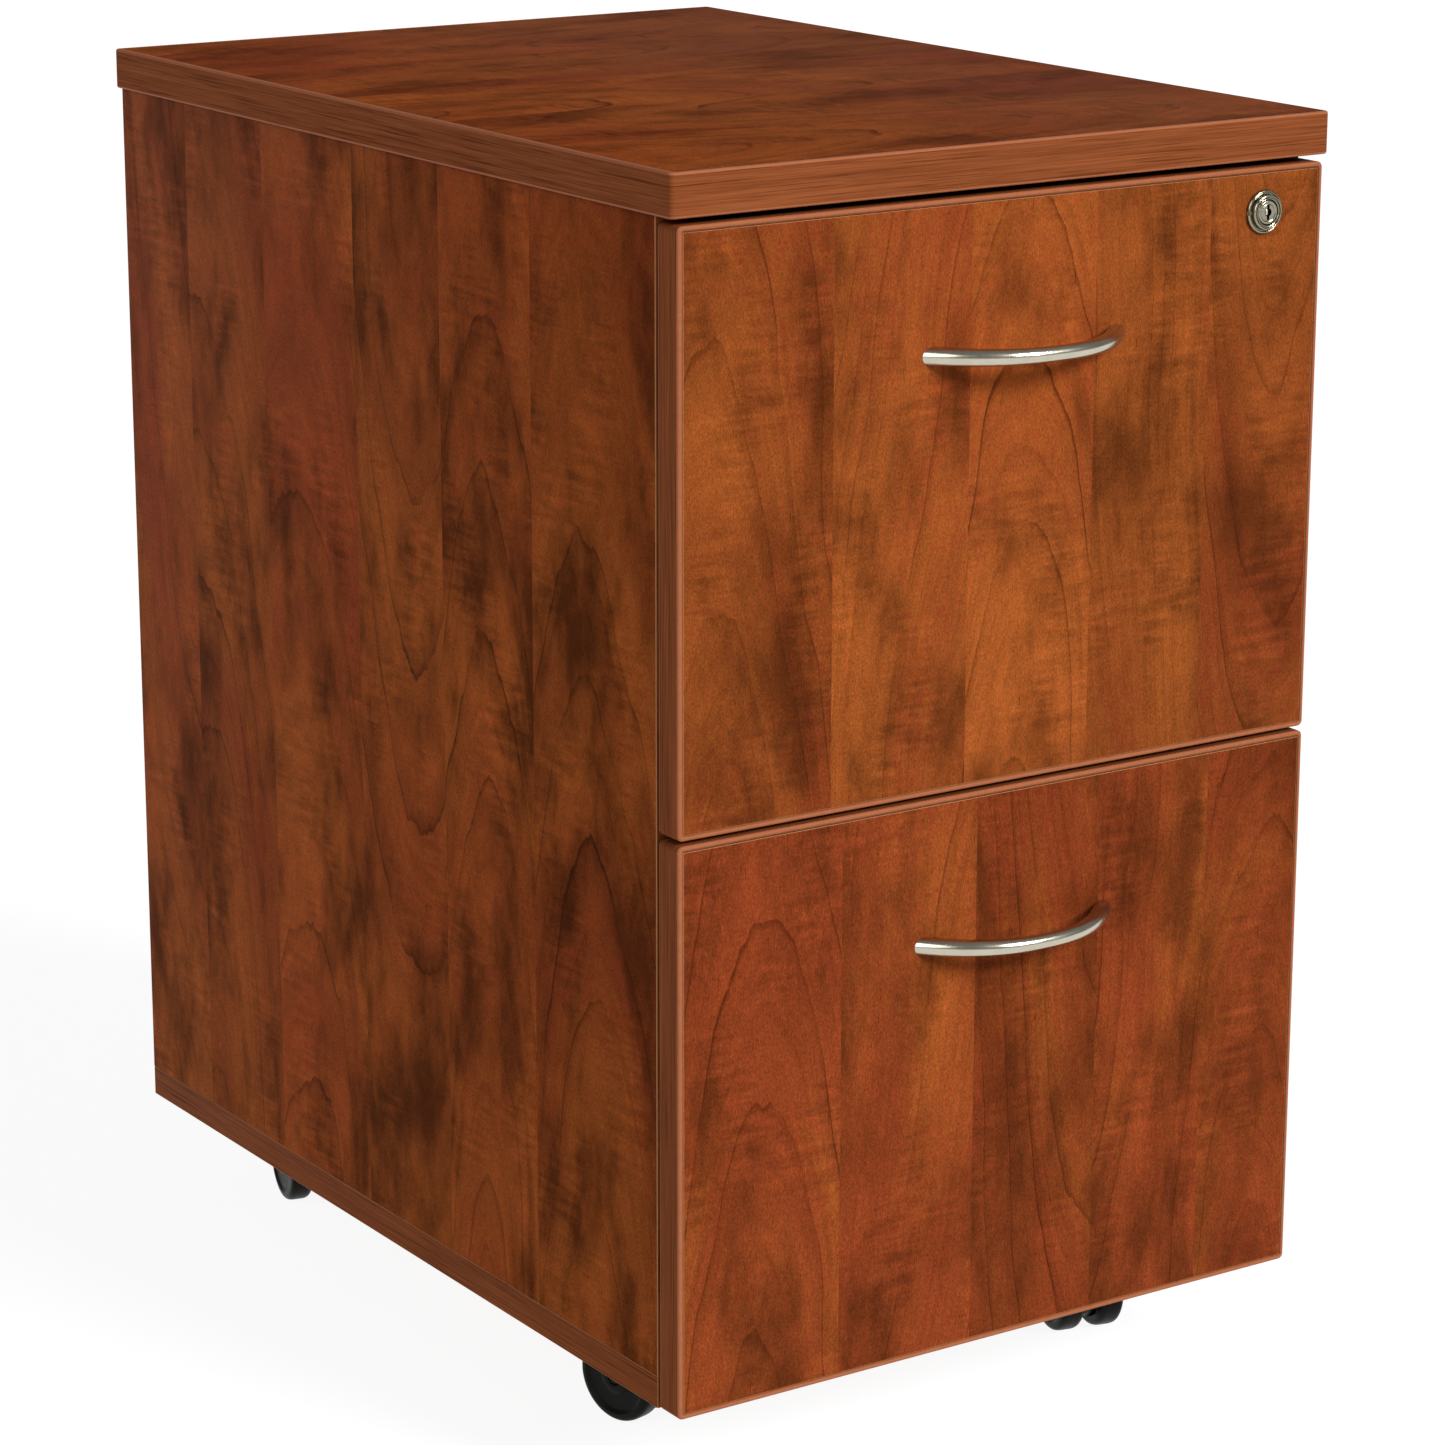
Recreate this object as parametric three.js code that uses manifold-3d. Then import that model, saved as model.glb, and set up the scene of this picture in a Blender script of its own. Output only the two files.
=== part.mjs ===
// Two-drawer mobile file pedestal: laminated panels with edge bands, two full-overlay file
// drawers on full-extension slides, bow handles, a cam lock and four twin-wheel casters.
//
// Millimetres, +Z up, -Y is the drawer side, +X is the user's right when facing the drawers.
// The origin is at the bottom centre of the overall box, on the floor.

import * as THREE from 'three';
import { mergeVertices } from 'three/addons/utils/BufferGeometryUtils.js';
import Module from 'manifold-3d';

const wasm = await Module();
wasm.setup();

// ---------- driving dimensions ----------

const SEAM = 0.3; // glue line or rest gap between touching pieces

// Top: laminated board with a thick edge band all round.
const TOP_WIDTH = 400;
const TOP_DEPTH = 575;
const TOP_THICKNESS = 22;
const BAND_THICKNESS = 3;
const BAND_EDGE_RADIUS = 2;
const BAND_CORNER_RADIUS = 3;

// Carcass.
const SIDE_OVERHANG = 3.7;
const BACK_OVERHANG = 1;
const PANEL_THICKNESS = 16;
const BOTTOM_THICKNESS = 17;
const THIN_BAND = 1;
const CASTER_HEIGHT = 56;
const BODY_WIDTH = TOP_WIDTH - 2 * SIDE_OVERHANG;

// Drawer fronts.
const FRONT_THICKNESS = 17.5;
const FRONT_HEIGHT = 297.9;
const FRONT_GAP = 2.5;
const TOP_GAP = 3.4;
const FRONT_TO_CARCASS = 1.5;

// Drawer boxes, measured up from the bottom edge of their own front.
const BOX_RAISE = 22;
const BOX_HEIGHT = 232;
const BOX_LENGTH = 505;
const BOX_WALL = 12;
const FLOOR_THICKNESS = 5;
const FLOOR_RAISE = 6;
const GROOVE_DEPTH = 5;
const GROOVE_CLEARANCE = 0.4;

// Slides.
const SLIDE_SPACE = 12.7;
const SLIDE_LENGTH = 500;
const SLIDE_GAUGE = 1.2;
const SLIDE_RAISE = 90;
const SLIDE_SETBACK = 2;
const OUTER_HALF_HEIGHT = 22.5;
const MIDDLE_HALF_HEIGHT = 19;
const INNER_HALF_HEIGHT = 14.4;
const OUTER_REACH = 9.5; // from the carcass wall to the tips of each member's flanges
const MIDDLE_REACH = 8.8;
const INNER_REACH = 5.1;
const MIDDLE_START = 2.7; // from the carcass wall to the middle member's web

// Hanging-file rails, clipped over the top edges of the drawer sides.
const RAIL_GAUGE = 1.5;
const RAIL_LIP = 10;
const RAIL_LEG = 10;
const RAIL_INSET = 1;
const RAIL_BACK_GAP = 4;

// Bow handles.
const HANDLE_HALF_SPAN = 56;
const HANDLE_RISE = 25.8;
const HANDLE_POWER = 2.4;
const HANDLE_MID_RADIUS = 3.9;
const HANDLE_END_RADIUS = 5;
const HANDLE_DROP = 76;
const HANDLE_SHIFT = 8;

// Cam lock in the upper front.
const LOCK_FROM_RIGHT = 38.8;
const LOCK_DROP = 22.5;
const LOCK_BARREL_RADIUS = 9.5;
const LOCK_FLANGE_RADIUS = 11.1;
const PLUG_RADIUS = 6.3;
const BARREL_LENGTH = 24;
const CAM_REACH = 20;
const CAM_WIDTH = 12;
const CAM_GAUGE = 2.5;
const SPINDLE_RADIUS = 3.5;
const KEYWAY_HALF_WIDTH = 1;
const KEYWAY_HALF_HEIGHT = 3.8;
const KEYWAY_DEPTH = 6;

// Strike angle under the top, which the raised cam stands behind.
const STRIKE_GAUGE = 1.8;
const STRIKE_LEG = 13.5;
const STRIKE_FOOT = 20;
const STRIKE_HALF_WIDTH = 17;
const STRIKE_SETBACK = 2.2;

// Casters.
const CASTER_FROM_SIDE = 66.5;
const FRONT_CASTER_SETBACK = 112;
const REAR_CASTER_SETBACK = 89;
// Where each caster has swivelled to at rest, in degrees about its kingpin.
const CASTER_TURNS = { front_left: 14, front_right: 166, rear_left: -12, rear_right: 180 };
const WHEEL_RADIUS = 25;
const WHEEL_WIDTH = 14;
const WHEEL_INSIDE = 4.5;
const TRAIL = 18;
const HOOD_INNER = 25.9;
const HOOD_OUTER = 27.6;
const HOOD_HALF_WIDTH = 19.5;
const WEB_HALF = 3.4;
const AXLE_RADIUS = 4;
const BOSS_RADIUS = 10.5;
const BOSS_HEIGHT = 14;
const BOSS_MIDDLE = 45.6;
const KINGPIN_RADIUS = 5;
const KINGPIN_LENGTH = 8;
const PLATE_SIZE = 42;
const PLATE_CORNER = 7;
const PLATE_GAUGE = 2.5;
const PLATE_HOLE = 15.5;
const PLATE_HOLE_RADIUS = 2.3;

// ---------- derived levels and planes ----------

const HANDLE_REACH = SEAM + HANDLE_RISE + HANDLE_MID_RADIUS;
const FACE_Y = (HANDLE_REACH - TOP_DEPTH) / 2; // outer face of the drawer fronts and of the top
const BACK_Y = FACE_Y + TOP_DEPTH - BACK_OVERHANG;
const FRONT_BACK_Y = FACE_Y + FRONT_THICKNESS;
const CARCASS_Y = FRONT_BACK_Y + FRONT_TO_CARCASS;
const BODY_Z = CASTER_HEIGHT;
const LOWER_FRONT_Z = BODY_Z;
const UPPER_FRONT_Z = LOWER_FRONT_Z + FRONT_HEIGHT + FRONT_GAP;
const TOP_Z = UPPER_FRONT_Z + FRONT_HEIGHT + TOP_GAP;
const SIDE_BOTTOM_Z = BODY_Z + BOTTOM_THICKNESS;
const BODY_HALF = BODY_WIDTH / 2;
const INSIDE_HALF = BODY_HALF - PANEL_THICKNESS;
const BOX_HALF = INSIDE_HALF - SLIDE_SPACE;
const LOCK_X = BODY_HALF - LOCK_FROM_RIGHT;
const LOCK_Z = UPPER_FRONT_Z + FRONT_HEIGHT - LOCK_DROP;
const AXLE_Z = WHEEL_RADIUS;

const pedestal = new THREE.Group();

// ---------- materials ----------

function finish(color, roughness, metalness) {
  return () => new THREE.MeshStandardMaterial({ color, roughness, metalness });
}

const cherryFront = finish(0x8f4923, 0.42, 0);
const cherryCarcass = finish(0x7a3f20, 0.45, 0);
const edgeBand = finish(0x7c4427, 0.38, 0);
const boxMelamine = finish(0x6b4128, 0.55, 0);
const nickel = finish(0xb4b0a6, 0.3, 1);
const polishedNickel = finish(0xc2bfb4, 0.18, 1);
const zincSteel = finish(0xa9adb0, 0.4, 1);
const blackSteel = finish(0x1d1d1d, 0.5, 0.3);
const blackNylon = finish(0x1a1a18, 0.45, 0);

// ---------- solids ----------

function add(name, geometry, makeMaterial, parent = pedestal) {
  const mesh = new THREE.Mesh(geometry, makeMaterial());
  mesh.name = name;
  parent.add(mesh);
  return mesh;
}

// A box between two corners.
function block(x0, x1, y0, y1, z0, z1) {
  const geometry = new THREE.BoxGeometry(x1 - x0, y1 - y0, z1 - z0);
  return geometry.translate((x0 + x1) / 2, (y0 + y1) / 2, (z0 + z1) / 2);
}

// An outline of [x, z] points run along Y from y0 to y1.
function runAlongY(points, y0, y1) {
  const shape = new THREE.Shape(points.map(([x, z]) => new THREE.Vector2(x, z)));
  const geometry = new THREE.ExtrudeGeometry(shape, { depth: y1 - y0, bevelEnabled: false });
  return geometry.rotateX(Math.PI / 2).translate(0, y1, 0);
}

// An outline of [y, z] points run along X from x0 to x1.
function runAlongX(points, x0, x1) {
  const shape = new THREE.Shape(points.map(([y, z]) => new THREE.Vector2(y, z)));
  const geometry = new THREE.ExtrudeGeometry(shape, { depth: x1 - x0, bevelEnabled: false });
  return geometry.rotateX(Math.PI / 2).rotateZ(Math.PI / 2).translate(x0, 0, 0);
}

// The same outline for the left (-1) or the right (+1) side of the pedestal.
function mirrored(points, side) {
  return points.map(([x, z]) => [side * x, z]);
}

// A cylinder along the X, Y or Z axis, centred on the given point.
function rod(axis, radius, length, x, y, z, segments = 16) {
  const geometry = new THREE.CylinderGeometry(radius, radius, length, segments);
  if (axis === 'x') geometry.rotateZ(-Math.PI / 2);
  if (axis === 'z') geometry.rotateX(Math.PI / 2);
  return geometry.translate(x, y, z);
}

function roundedRectangle(width, height, radius) {
  const x = width / 2;
  const y = height / 2;
  const shape = new THREE.Shape();
  shape.moveTo(-x + radius, -y);
  shape.lineTo(x - radius, -y);
  shape.absarc(x - radius, -y + radius, radius, -Math.PI / 2, 0);
  shape.lineTo(x, y - radius);
  shape.absarc(x - radius, y - radius, radius, 0, Math.PI / 2);
  shape.lineTo(-x + radius, y);
  shape.absarc(-x + radius, y - radius, radius, Math.PI / 2, Math.PI);
  shape.lineTo(-x, -y + radius);
  shape.absarc(-x + radius, -y + radius, radius, Math.PI, 1.5 * Math.PI);
  return shape;
}

// A slab in the XY plane, from z = 0 up, with rounded arrises.
function softSlab(width, height, thickness, cornerRadius, edgeRadius) {
  const geometry = new THREE.ExtrudeGeometry(roundedRectangle(width, height, cornerRadius), {
    depth: thickness - 2 * edgeRadius,
    bevelThickness: edgeRadius,
    bevelSize: edgeRadius,
    bevelOffset: -edgeRadius,
    bevelSegments: 3,
    curveSegments: 3,
  });
  return geometry.translate(0, 0, edgeRadius);
}

function toSolid(geometry) {
  const bare = geometry.clone();
  bare.deleteAttribute('normal');
  bare.deleteAttribute('uv');
  const merged = mergeVertices(bare, 1e-4);
  const vertProperties = new Float32Array(merged.attributes.position.array);
  const triVerts = new Uint32Array(merged.index.array);
  return new wasm.Manifold(new wasm.Mesh({ numProp: 3, vertProperties, triVerts }));
}

function toGeometry(solid) {
  const { vertProperties, triVerts } = solid.getMesh();
  const geometry = new THREE.BufferGeometry();
  geometry.setAttribute('position', new THREE.BufferAttribute(vertProperties, 3));
  geometry.setIndex(new THREE.BufferAttribute(triVerts, 1));
  geometry.computeVertexNormals();
  return geometry;
}

function cut(geometry, ...tools) {
  return toGeometry(tools.reduce((body, tool) => body.subtract(toSolid(tool)), toSolid(geometry)));
}

function join(geometry, ...others) {
  return toGeometry(others.reduce((body, other) => body.add(toSolid(other)), toSolid(geometry)));
}

// ---------- carcass ----------

function buildTop() {
  const core = BAND_THICKNESS + SEAM;
  const x = TOP_WIDTH / 2;
  const backY = FACE_Y + TOP_DEPTH;
  const midY = (FACE_Y + backY) / 2;
  const z1 = TOP_Z + TOP_THICKNESS;
  add('top_panel', block(-x + core, x - core, FACE_Y + core, backY - core, TOP_Z, z1), cherryCarcass);

  const slab = softSlab(TOP_WIDTH, TOP_DEPTH, TOP_THICKNESS, BAND_CORNER_RADIUS, BAND_EDGE_RADIUS);
  slab.translate(0, midY, TOP_Z);
  const inner = x - BAND_THICKNESS;
  const hole = block(-inner, inner, FACE_Y + BAND_THICKNESS, backY - BAND_THICKNESS, TOP_Z - 5, z1 + 5);
  add('top_edge_band', cut(slab, hole), edgeBand);
}

function buildSides() {
  for (const [name, side] of [['left', -1], ['right', 1]]) {
    const x0 = Math.min(side * BODY_HALF, side * INSIDE_HALF);
    const x1 = x0 + PANEL_THICKNESS;
    const z0 = SIDE_BOTTOM_Z + SEAM;
    const z1 = TOP_Z - SEAM;
    const panelY = CARCASS_Y + THIN_BAND + SEAM;
    add(`${name}_side_panel`, block(x0, x1, panelY, BACK_Y, z0, z1), cherryCarcass);
    add(`${name}_side_edge_band`, block(x0, x1, CARCASS_Y, CARCASS_Y + THIN_BAND, z0, z1), edgeBand);
  }
}

function buildBottom() {
  const skin = THIN_BAND + SEAM;
  const x = BODY_HALF;
  const inner = x - THIN_BAND;
  const z1 = BODY_Z + BOTTOM_THICKNESS;
  add('bottom_panel', block(-x + skin, x - skin, CARCASS_Y + skin, BACK_Y, BODY_Z, z1), cherryCarcass);

  const slab = block(-x, x, CARCASS_Y, BACK_Y, BODY_Z, z1);
  const hole = block(-inner, inner, CARCASS_Y + THIN_BAND, BACK_Y + 5, BODY_Z - 5, z1 + 5);
  add('bottom_edge_band', cut(slab, hole), edgeBand);
}

function buildBack() {
  const x = INSIDE_HALF - SEAM;
  const y0 = BACK_Y - PANEL_THICKNESS;
  add('back_panel', block(-x, x, y0, BACK_Y, SIDE_BOTTOM_Z + SEAM, TOP_Z - SEAM), cherryCarcass);
}

// ---------- slides ----------

// A channel section: the web stands at webX, the flanges reach to lipX.
function channel(side, webX, lipX, halfHeight, midZ) {
  const inward = webX < lipX ? SLIDE_GAUGE : -SLIDE_GAUGE;
  const top = midZ + halfHeight;
  const bottom = midZ - halfHeight;
  return mirrored([
    [webX, bottom],
    [lipX, bottom],
    [lipX, bottom + SLIDE_GAUGE],
    [webX + inward, bottom + SLIDE_GAUGE],
    [webX + inward, top - SLIDE_GAUGE],
    [lipX, top - SLIDE_GAUGE],
    [lipX, top],
    [webX, top],
  ], side);
}

// Three nested channels: one on the carcass, one between, one on the drawer.
function buildSlides(drawer, frontZ) {
  const y0 = CARCASS_Y + SLIDE_SETBACK;
  const y1 = y0 + SLIDE_LENGTH;
  const midZ = frontZ + SLIDE_RAISE;
  const wall = INSIDE_HALF;
  for (const [name, side] of [['left', -1], ['right', 1]]) {
    const outer = channel(side, wall - SEAM, wall - OUTER_REACH, OUTER_HALF_HEIGHT, midZ);
    const middle = channel(side, wall - MIDDLE_START, wall - MIDDLE_REACH, MIDDLE_HALF_HEIGHT, midZ);
    const inner = channel(side, BOX_HALF + SEAM, wall - INNER_REACH, INNER_HALF_HEIGHT, midZ);
    add(`${drawer}_${name}_slide_outer`, runAlongY(outer, y0, y1), zincSteel);
    add(`${drawer}_${name}_slide_middle`, runAlongY(middle, y0, y1), zincSteel);
    add(`${drawer}_${name}_slide_inner`, runAlongY(inner, y0, y1), zincSteel);
  }
}

// ---------- drawers ----------

function buildFront(drawer, z0, lockHole) {
  const core = BAND_THICKNESS + SEAM;
  const x = BODY_HALF;
  const z1 = z0 + FRONT_HEIGHT;
  const board = block(-x + core, x - core, FACE_Y, FRONT_BACK_Y, z0 + core, z1 - core);
  add(`${drawer}_drawer_front`, lockHole ? cut(board, lockHole) : board, cherryFront);

  const midZ = (z0 + z1) / 2;
  const slab = softSlab(BODY_WIDTH, FRONT_HEIGHT, FRONT_THICKNESS, BAND_CORNER_RADIUS, BAND_EDGE_RADIUS);
  slab.rotateX(Math.PI / 2).translate(0, FRONT_BACK_Y, midZ);
  const inner = x - BAND_THICKNESS;
  const zIn = FRONT_HEIGHT / 2 - BAND_THICKNESS;
  const hole = block(-inner, inner, FACE_Y - 5, FRONT_BACK_Y + 5, midZ - zIn, midZ + zIn);
  add(`${drawer}_front_edge_band`, cut(slab, hole), edgeBand);
}

// Two grooved sides, a floor held in their grooves, and a back standing on the floor.
function buildBox(drawer, frontZ) {
  const y0 = FRONT_BACK_Y + SEAM;
  const y1 = y0 + BOX_LENGTH;
  const z0 = frontZ + BOX_RAISE;
  const z1 = z0 + BOX_HEIGHT;
  const inner = BOX_HALF - BOX_WALL;
  const floorZ = z0 + FLOOR_RAISE;
  const floorTop = floorZ + FLOOR_THICKNESS;
  const grooveX = inner + GROOVE_DEPTH;
  const wall = [
    [BOX_HALF, z0],
    [BOX_HALF, z1],
    [inner, z1],
    [inner, floorTop + GROOVE_CLEARANCE],
    [grooveX, floorTop + GROOVE_CLEARANCE],
    [grooveX, floorZ - GROOVE_CLEARANCE],
    [inner, floorZ - GROOVE_CLEARANCE],
    [inner, z0],
  ];
  for (const [name, side] of [['left', -1], ['right', 1]]) {
    add(`${drawer}_drawer_${name}_side`, runAlongY(mirrored(wall, side), y0, y1), boxMelamine);
  }
  const floorX = grooveX - GROOVE_CLEARANCE;
  add(`${drawer}_drawer_bottom`, block(-floorX, floorX, y0, y1, floorZ, floorTop), boxMelamine);
  const backX = inner - SEAM;
  const back = block(-backX, backX, y1 - BOX_WALL, y1, floorTop + SEAM, z1);
  add(`${drawer}_drawer_back`, back, boxMelamine);
}

// A rail clips over the drawer side's top edge; the folder hooks ride on its upright lip.
function buildFileRails(drawer, frontZ) {
  const top = frontZ + BOX_RAISE + BOX_HEIGHT + SEAM;
  const insideX = BOX_HALF - BOX_WALL - SEAM;
  const lipX = insideX - RAIL_GAUGE;
  const section = [
    [BOX_HALF - RAIL_INSET, top],
    [BOX_HALF - RAIL_INSET, top + RAIL_GAUGE],
    [insideX, top + RAIL_GAUGE],
    [insideX, top + RAIL_LIP],
    [lipX, top + RAIL_LIP],
    [lipX, top - RAIL_LEG],
    [insideX, top - RAIL_LEG],
    [insideX, top],
  ];
  const y0 = FRONT_BACK_Y + BARREL_LENGTH;
  const y1 = FRONT_BACK_Y + BOX_LENGTH - BOX_WALL - RAIL_BACK_GAP;
  for (const [name, side] of [['left', -1], ['right', 1]]) {
    add(`${drawer}_${name}_file_rail`, runAlongY(mirrored(section, side), y0, y1), blackSteel);
  }
}

// A bow along X whose section swells towards its feet; the feet are cut flat to the front.
function bowHandle() {
  const geometry = new THREE.CylinderGeometry(1, 1, 2, 12, 20);
  const position = geometry.attributes.position;
  for (let i = 0; i < position.count; i += 1) {
    const t = position.getY(i);
    const away = Math.abs(t);
    const slope = (-Math.sign(t) * HANDLE_RISE * HANDLE_POWER * away ** (HANDLE_POWER - 1)) / HANDLE_HALF_SPAN;
    const across = new THREE.Vector2(slope, 1).normalize();
    const flat = new THREE.Vector2(Math.sign(slope) || 1, 0);
    const turn = THREE.MathUtils.smoothstep(away, 0.72, 1);
    const section = across.clone().lerp(flat, turn).normalize();
    const stretch = 1 / section.dot(across);
    const radius = THREE.MathUtils.lerp(HANDLE_MID_RADIUS, HANDLE_END_RADIUS, away ** 2);
    const offset = -position.getX(i) * radius * stretch;
    const rise = SEAM + HANDLE_RISE * (1 - away ** HANDLE_POWER);
    const x = t * HANDLE_HALF_SPAN + offset * section.x;
    position.setXYZ(i, x, -rise + offset * section.y, position.getZ(i) * radius);
  }
  geometry.computeVertexNormals();
  return geometry;
}

function buildDrawer(drawer, frontZ, lockHole) {
  buildFront(drawer, frontZ, lockHole);
  buildBox(drawer, frontZ);
  buildFileRails(drawer, frontZ);
  buildSlides(drawer, frontZ);
  const handle = bowHandle();
  handle.translate(HANDLE_SHIFT, FACE_Y, frontZ + FRONT_HEIGHT - HANDLE_DROP);
  add(`${drawer}_drawer_handle`, handle, nickel);
}

// ---------- lock ----------

// A turned piece on the lock's axis; profile points are [radius, height out of the front].
function turnedOnLock(profile) {
  const points = profile.map(([r, h]) => new THREE.Vector2(r, h));
  const geometry = new THREE.LatheGeometry(points, 24);
  return geometry.rotateX(Math.PI).translate(LOCK_X, FACE_Y, LOCK_Z);
}

function buildLock() {
  const bore = PLUG_RADIUS + 0.3;
  const shoulder = -BARREL_LENGTH - 0.5;
  const camFront = FACE_Y + BARREL_LENGTH + 1;
  const housing = [
    [bore, -BARREL_LENGTH],
    [LOCK_BARREL_RADIUS, -BARREL_LENGTH],
    [LOCK_BARREL_RADIUS, SEAM],
    [LOCK_FLANGE_RADIUS, SEAM],
    [LOCK_FLANGE_RADIUS, 1.6],
    [10.4, 2.5],
    [9.5, 2.7],
    [9.3, 3.9],
    [8.7, 4.4],
    [7.4, 4.4],
    [bore, 3.8],
    [bore, -BARREL_LENGTH],
  ];
  add('lock_housing', turnedOnLock(housing), polishedNickel);

  const plug = [
    [0, shoulder - 4],
    [SPINDLE_RADIUS, shoulder - 4],
    [SPINDLE_RADIUS, shoulder],
    [PLUG_RADIUS, shoulder],
    [PLUG_RADIUS, 3.4],
    [5.7, 4],
    [0, 4],
  ];
  const keyway = block(
    LOCK_X - KEYWAY_HALF_WIDTH,
    LOCK_X + KEYWAY_HALF_WIDTH,
    FACE_Y - KEYWAY_DEPTH,
    FACE_Y + KEYWAY_DEPTH / 2,
    LOCK_Z - KEYWAY_HALF_HEIGHT,
    LOCK_Z + KEYWAY_HALF_HEIGHT,
  );
  add('lock_plug', cut(turnedOnLock(plug), keyway), polishedNickel);

  // The cam lies level, pointing left, while the lock is open.
  const half = CAM_WIDTH / 2;
  const plate = new THREE.Shape();
  plate.absarc(0, 0, half, -Math.PI / 2, Math.PI / 2);
  plate.lineTo(-CAM_REACH + half, half);
  plate.absarc(-CAM_REACH + half, 0, half, Math.PI / 2, 1.5 * Math.PI);
  const cam = new THREE.ExtrudeGeometry(plate, { depth: CAM_GAUGE, bevelEnabled: false, curveSegments: 6 });
  cam.rotateX(Math.PI / 2).translate(LOCK_X, camFront + CAM_GAUGE, LOCK_Z);
  const spindleHole = rod('y', SPINDLE_RADIUS + SEAM, 12, LOCK_X, camFront, LOCK_Z);
  add('lock_cam', cut(cam, spindleHole), zincSteel);
}

// An angle under the top; the raised cam stands behind its hanging leg.
function buildStrike() {
  const legY = FRONT_BACK_Y + STRIKE_SETBACK;
  const top = TOP_Z - SEAM;
  const section = [
    [legY, top],
    [legY, top - STRIKE_LEG],
    [legY + STRIKE_GAUGE, top - STRIKE_LEG],
    [legY + STRIKE_GAUGE, top - STRIKE_GAUGE],
    [legY + STRIKE_FOOT, top - STRIKE_GAUGE],
    [legY + STRIKE_FOOT, top],
  ];
  const strike = runAlongX(section, LOCK_X - STRIKE_HALF_WIDTH, LOCK_X + STRIKE_HALF_WIDTH);
  add('lock_strike', strike, zincSteel);
}

// ---------- casters ----------

// Fixing plate with its kingpin, in the caster's own frame: swivel axis on Z, floor at zero.
function casterPlate() {
  const underside = CASTER_HEIGHT - SEAM;
  const shape = roundedRectangle(PLATE_SIZE, PLATE_SIZE, PLATE_CORNER);
  for (const x of [-PLATE_HOLE, PLATE_HOLE]) {
    for (const y of [-PLATE_HOLE, PLATE_HOLE]) {
      shape.holes.push(new THREE.Path().absarc(x, y, PLATE_HOLE_RADIUS, 0, 2 * Math.PI, true));
    }
  }
  const settings = { depth: PLATE_GAUGE, bevelEnabled: false, curveSegments: 5 };
  const plate = new THREE.ExtrudeGeometry(shape, settings);
  plate.translate(0, 0, underside - PLATE_GAUGE);
  return join(plate, rod('z', KINGPIN_RADIUS, KINGPIN_LENGTH, 0, 0, underside - 5));
}

// Outline of an arc band or a full sector about the axle, in [y, z], from angle a0 to a1.
function arcPoints(radius, a0, a1, steps) {
  return Array.from({ length: steps + 1 }, (_, i) => {
    const angle = THREE.MathUtils.degToRad(a0 + ((a1 - a0) * i) / steps);
    return [TRAIL + radius * Math.cos(angle), AXLE_Z + radius * Math.sin(angle)];
  });
}

// The hood: a curved cover over both wheels, a web between them, the swivel boss and the axle.
function casterHood() {
  const cover = runAlongX(
    [...arcPoints(HOOD_OUTER, -8, 152, 12), ...arcPoints(HOOD_INNER, 152, -8, 12)],
    -HOOD_HALF_WIDTH,
    HOOD_HALF_WIDTH,
  );
  const web = runAlongX([...arcPoints(26.6, -6, 150, 12), ...arcPoints(19, 150, 354, 12)], -WEB_HALF, WEB_HALF);
  const wheelSpace = (side) => rod('x', HOOD_INNER, 20, side * (WEB_HALF + 10), TRAIL, AXLE_Z, 20);
  const boss = cut(rod('z', BOSS_RADIUS, BOSS_HEIGHT, 0, 0, BOSS_MIDDLE), wheelSpace(-1), wheelSpace(1));
  const axle = rod('x', AXLE_RADIUS, 2 * (WHEEL_INSIDE + WHEEL_WIDTH) - 3, 0, TRAIL, AXLE_Z);
  return cut(join(boss, cover, web, axle), rod('z', KINGPIN_RADIUS + 0.5, 10, 0, 0, 51));
}

// A dished wheel with a rounded tread, turned about the axle; height runs outwards along it.
function casterWheel(side) {
  const rim = WHEEL_RADIUS;
  const wide = WHEEL_WIDTH;
  const profile = [
    [4.4, 2],
    [8, 2],
    [8.6, 6],
    [18.4, 6],
    [19.4, 0],
    [23.4, 0],
    [rim, 3],
    [rim, 8.5],
    [23.4, 12],
    [18, 13.6],
    [4.4, wide],
    [4.4, 2],
  ];
  const points = profile.map(([r, h]) => new THREE.Vector2(r, h));
  const geometry = new THREE.LatheGeometry(points, 20);
  return geometry.rotateZ((-side * Math.PI) / 2).translate(side * WHEEL_INSIDE, TRAIL, AXLE_Z);
}

function buildCaster(place, x, y) {
  const caster = new THREE.Group();
  caster.position.set(x, y, 0);
  caster.rotation.z = THREE.MathUtils.degToRad(CASTER_TURNS[place]);
  pedestal.add(caster);
  add(`${place}_caster_plate`, casterPlate(), zincSteel, caster);
  add(`${place}_caster_hood`, casterHood(), blackNylon, caster);
  add(`${place}_caster_left_wheel`, casterWheel(-1), blackNylon, caster);
  add(`${place}_caster_right_wheel`, casterWheel(1), blackNylon, caster);
}

// ---------- assembly ----------

buildTop();
buildSides();
buildBottom();
buildBack();
buildStrike();
buildDrawer('upper', UPPER_FRONT_Z, rod('y', LOCK_BARREL_RADIUS + SEAM, 40, LOCK_X, FACE_Y, LOCK_Z));
buildDrawer('lower', LOWER_FRONT_Z);
buildLock();

const casterX = TOP_WIDTH / 2 - CASTER_FROM_SIDE;
const frontCasterY = FACE_Y + FRONT_CASTER_SETBACK;
const rearCasterY = FACE_Y + TOP_DEPTH - REAR_CASTER_SETBACK;
buildCaster('front_left', -casterX, frontCasterY);
buildCaster('front_right', casterX, frontCasterY);
buildCaster('rear_left', -casterX, rearCasterY);
buildCaster('rear_right', casterX, rearCasterY);

export default pedestal;
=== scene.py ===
"""Looks of the two-drawer mobile file pedestal: laminate, edge bands, hardware and casters."""

import math

import bmesh
import bpy
from mathutils import Matrix, Vector


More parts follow.
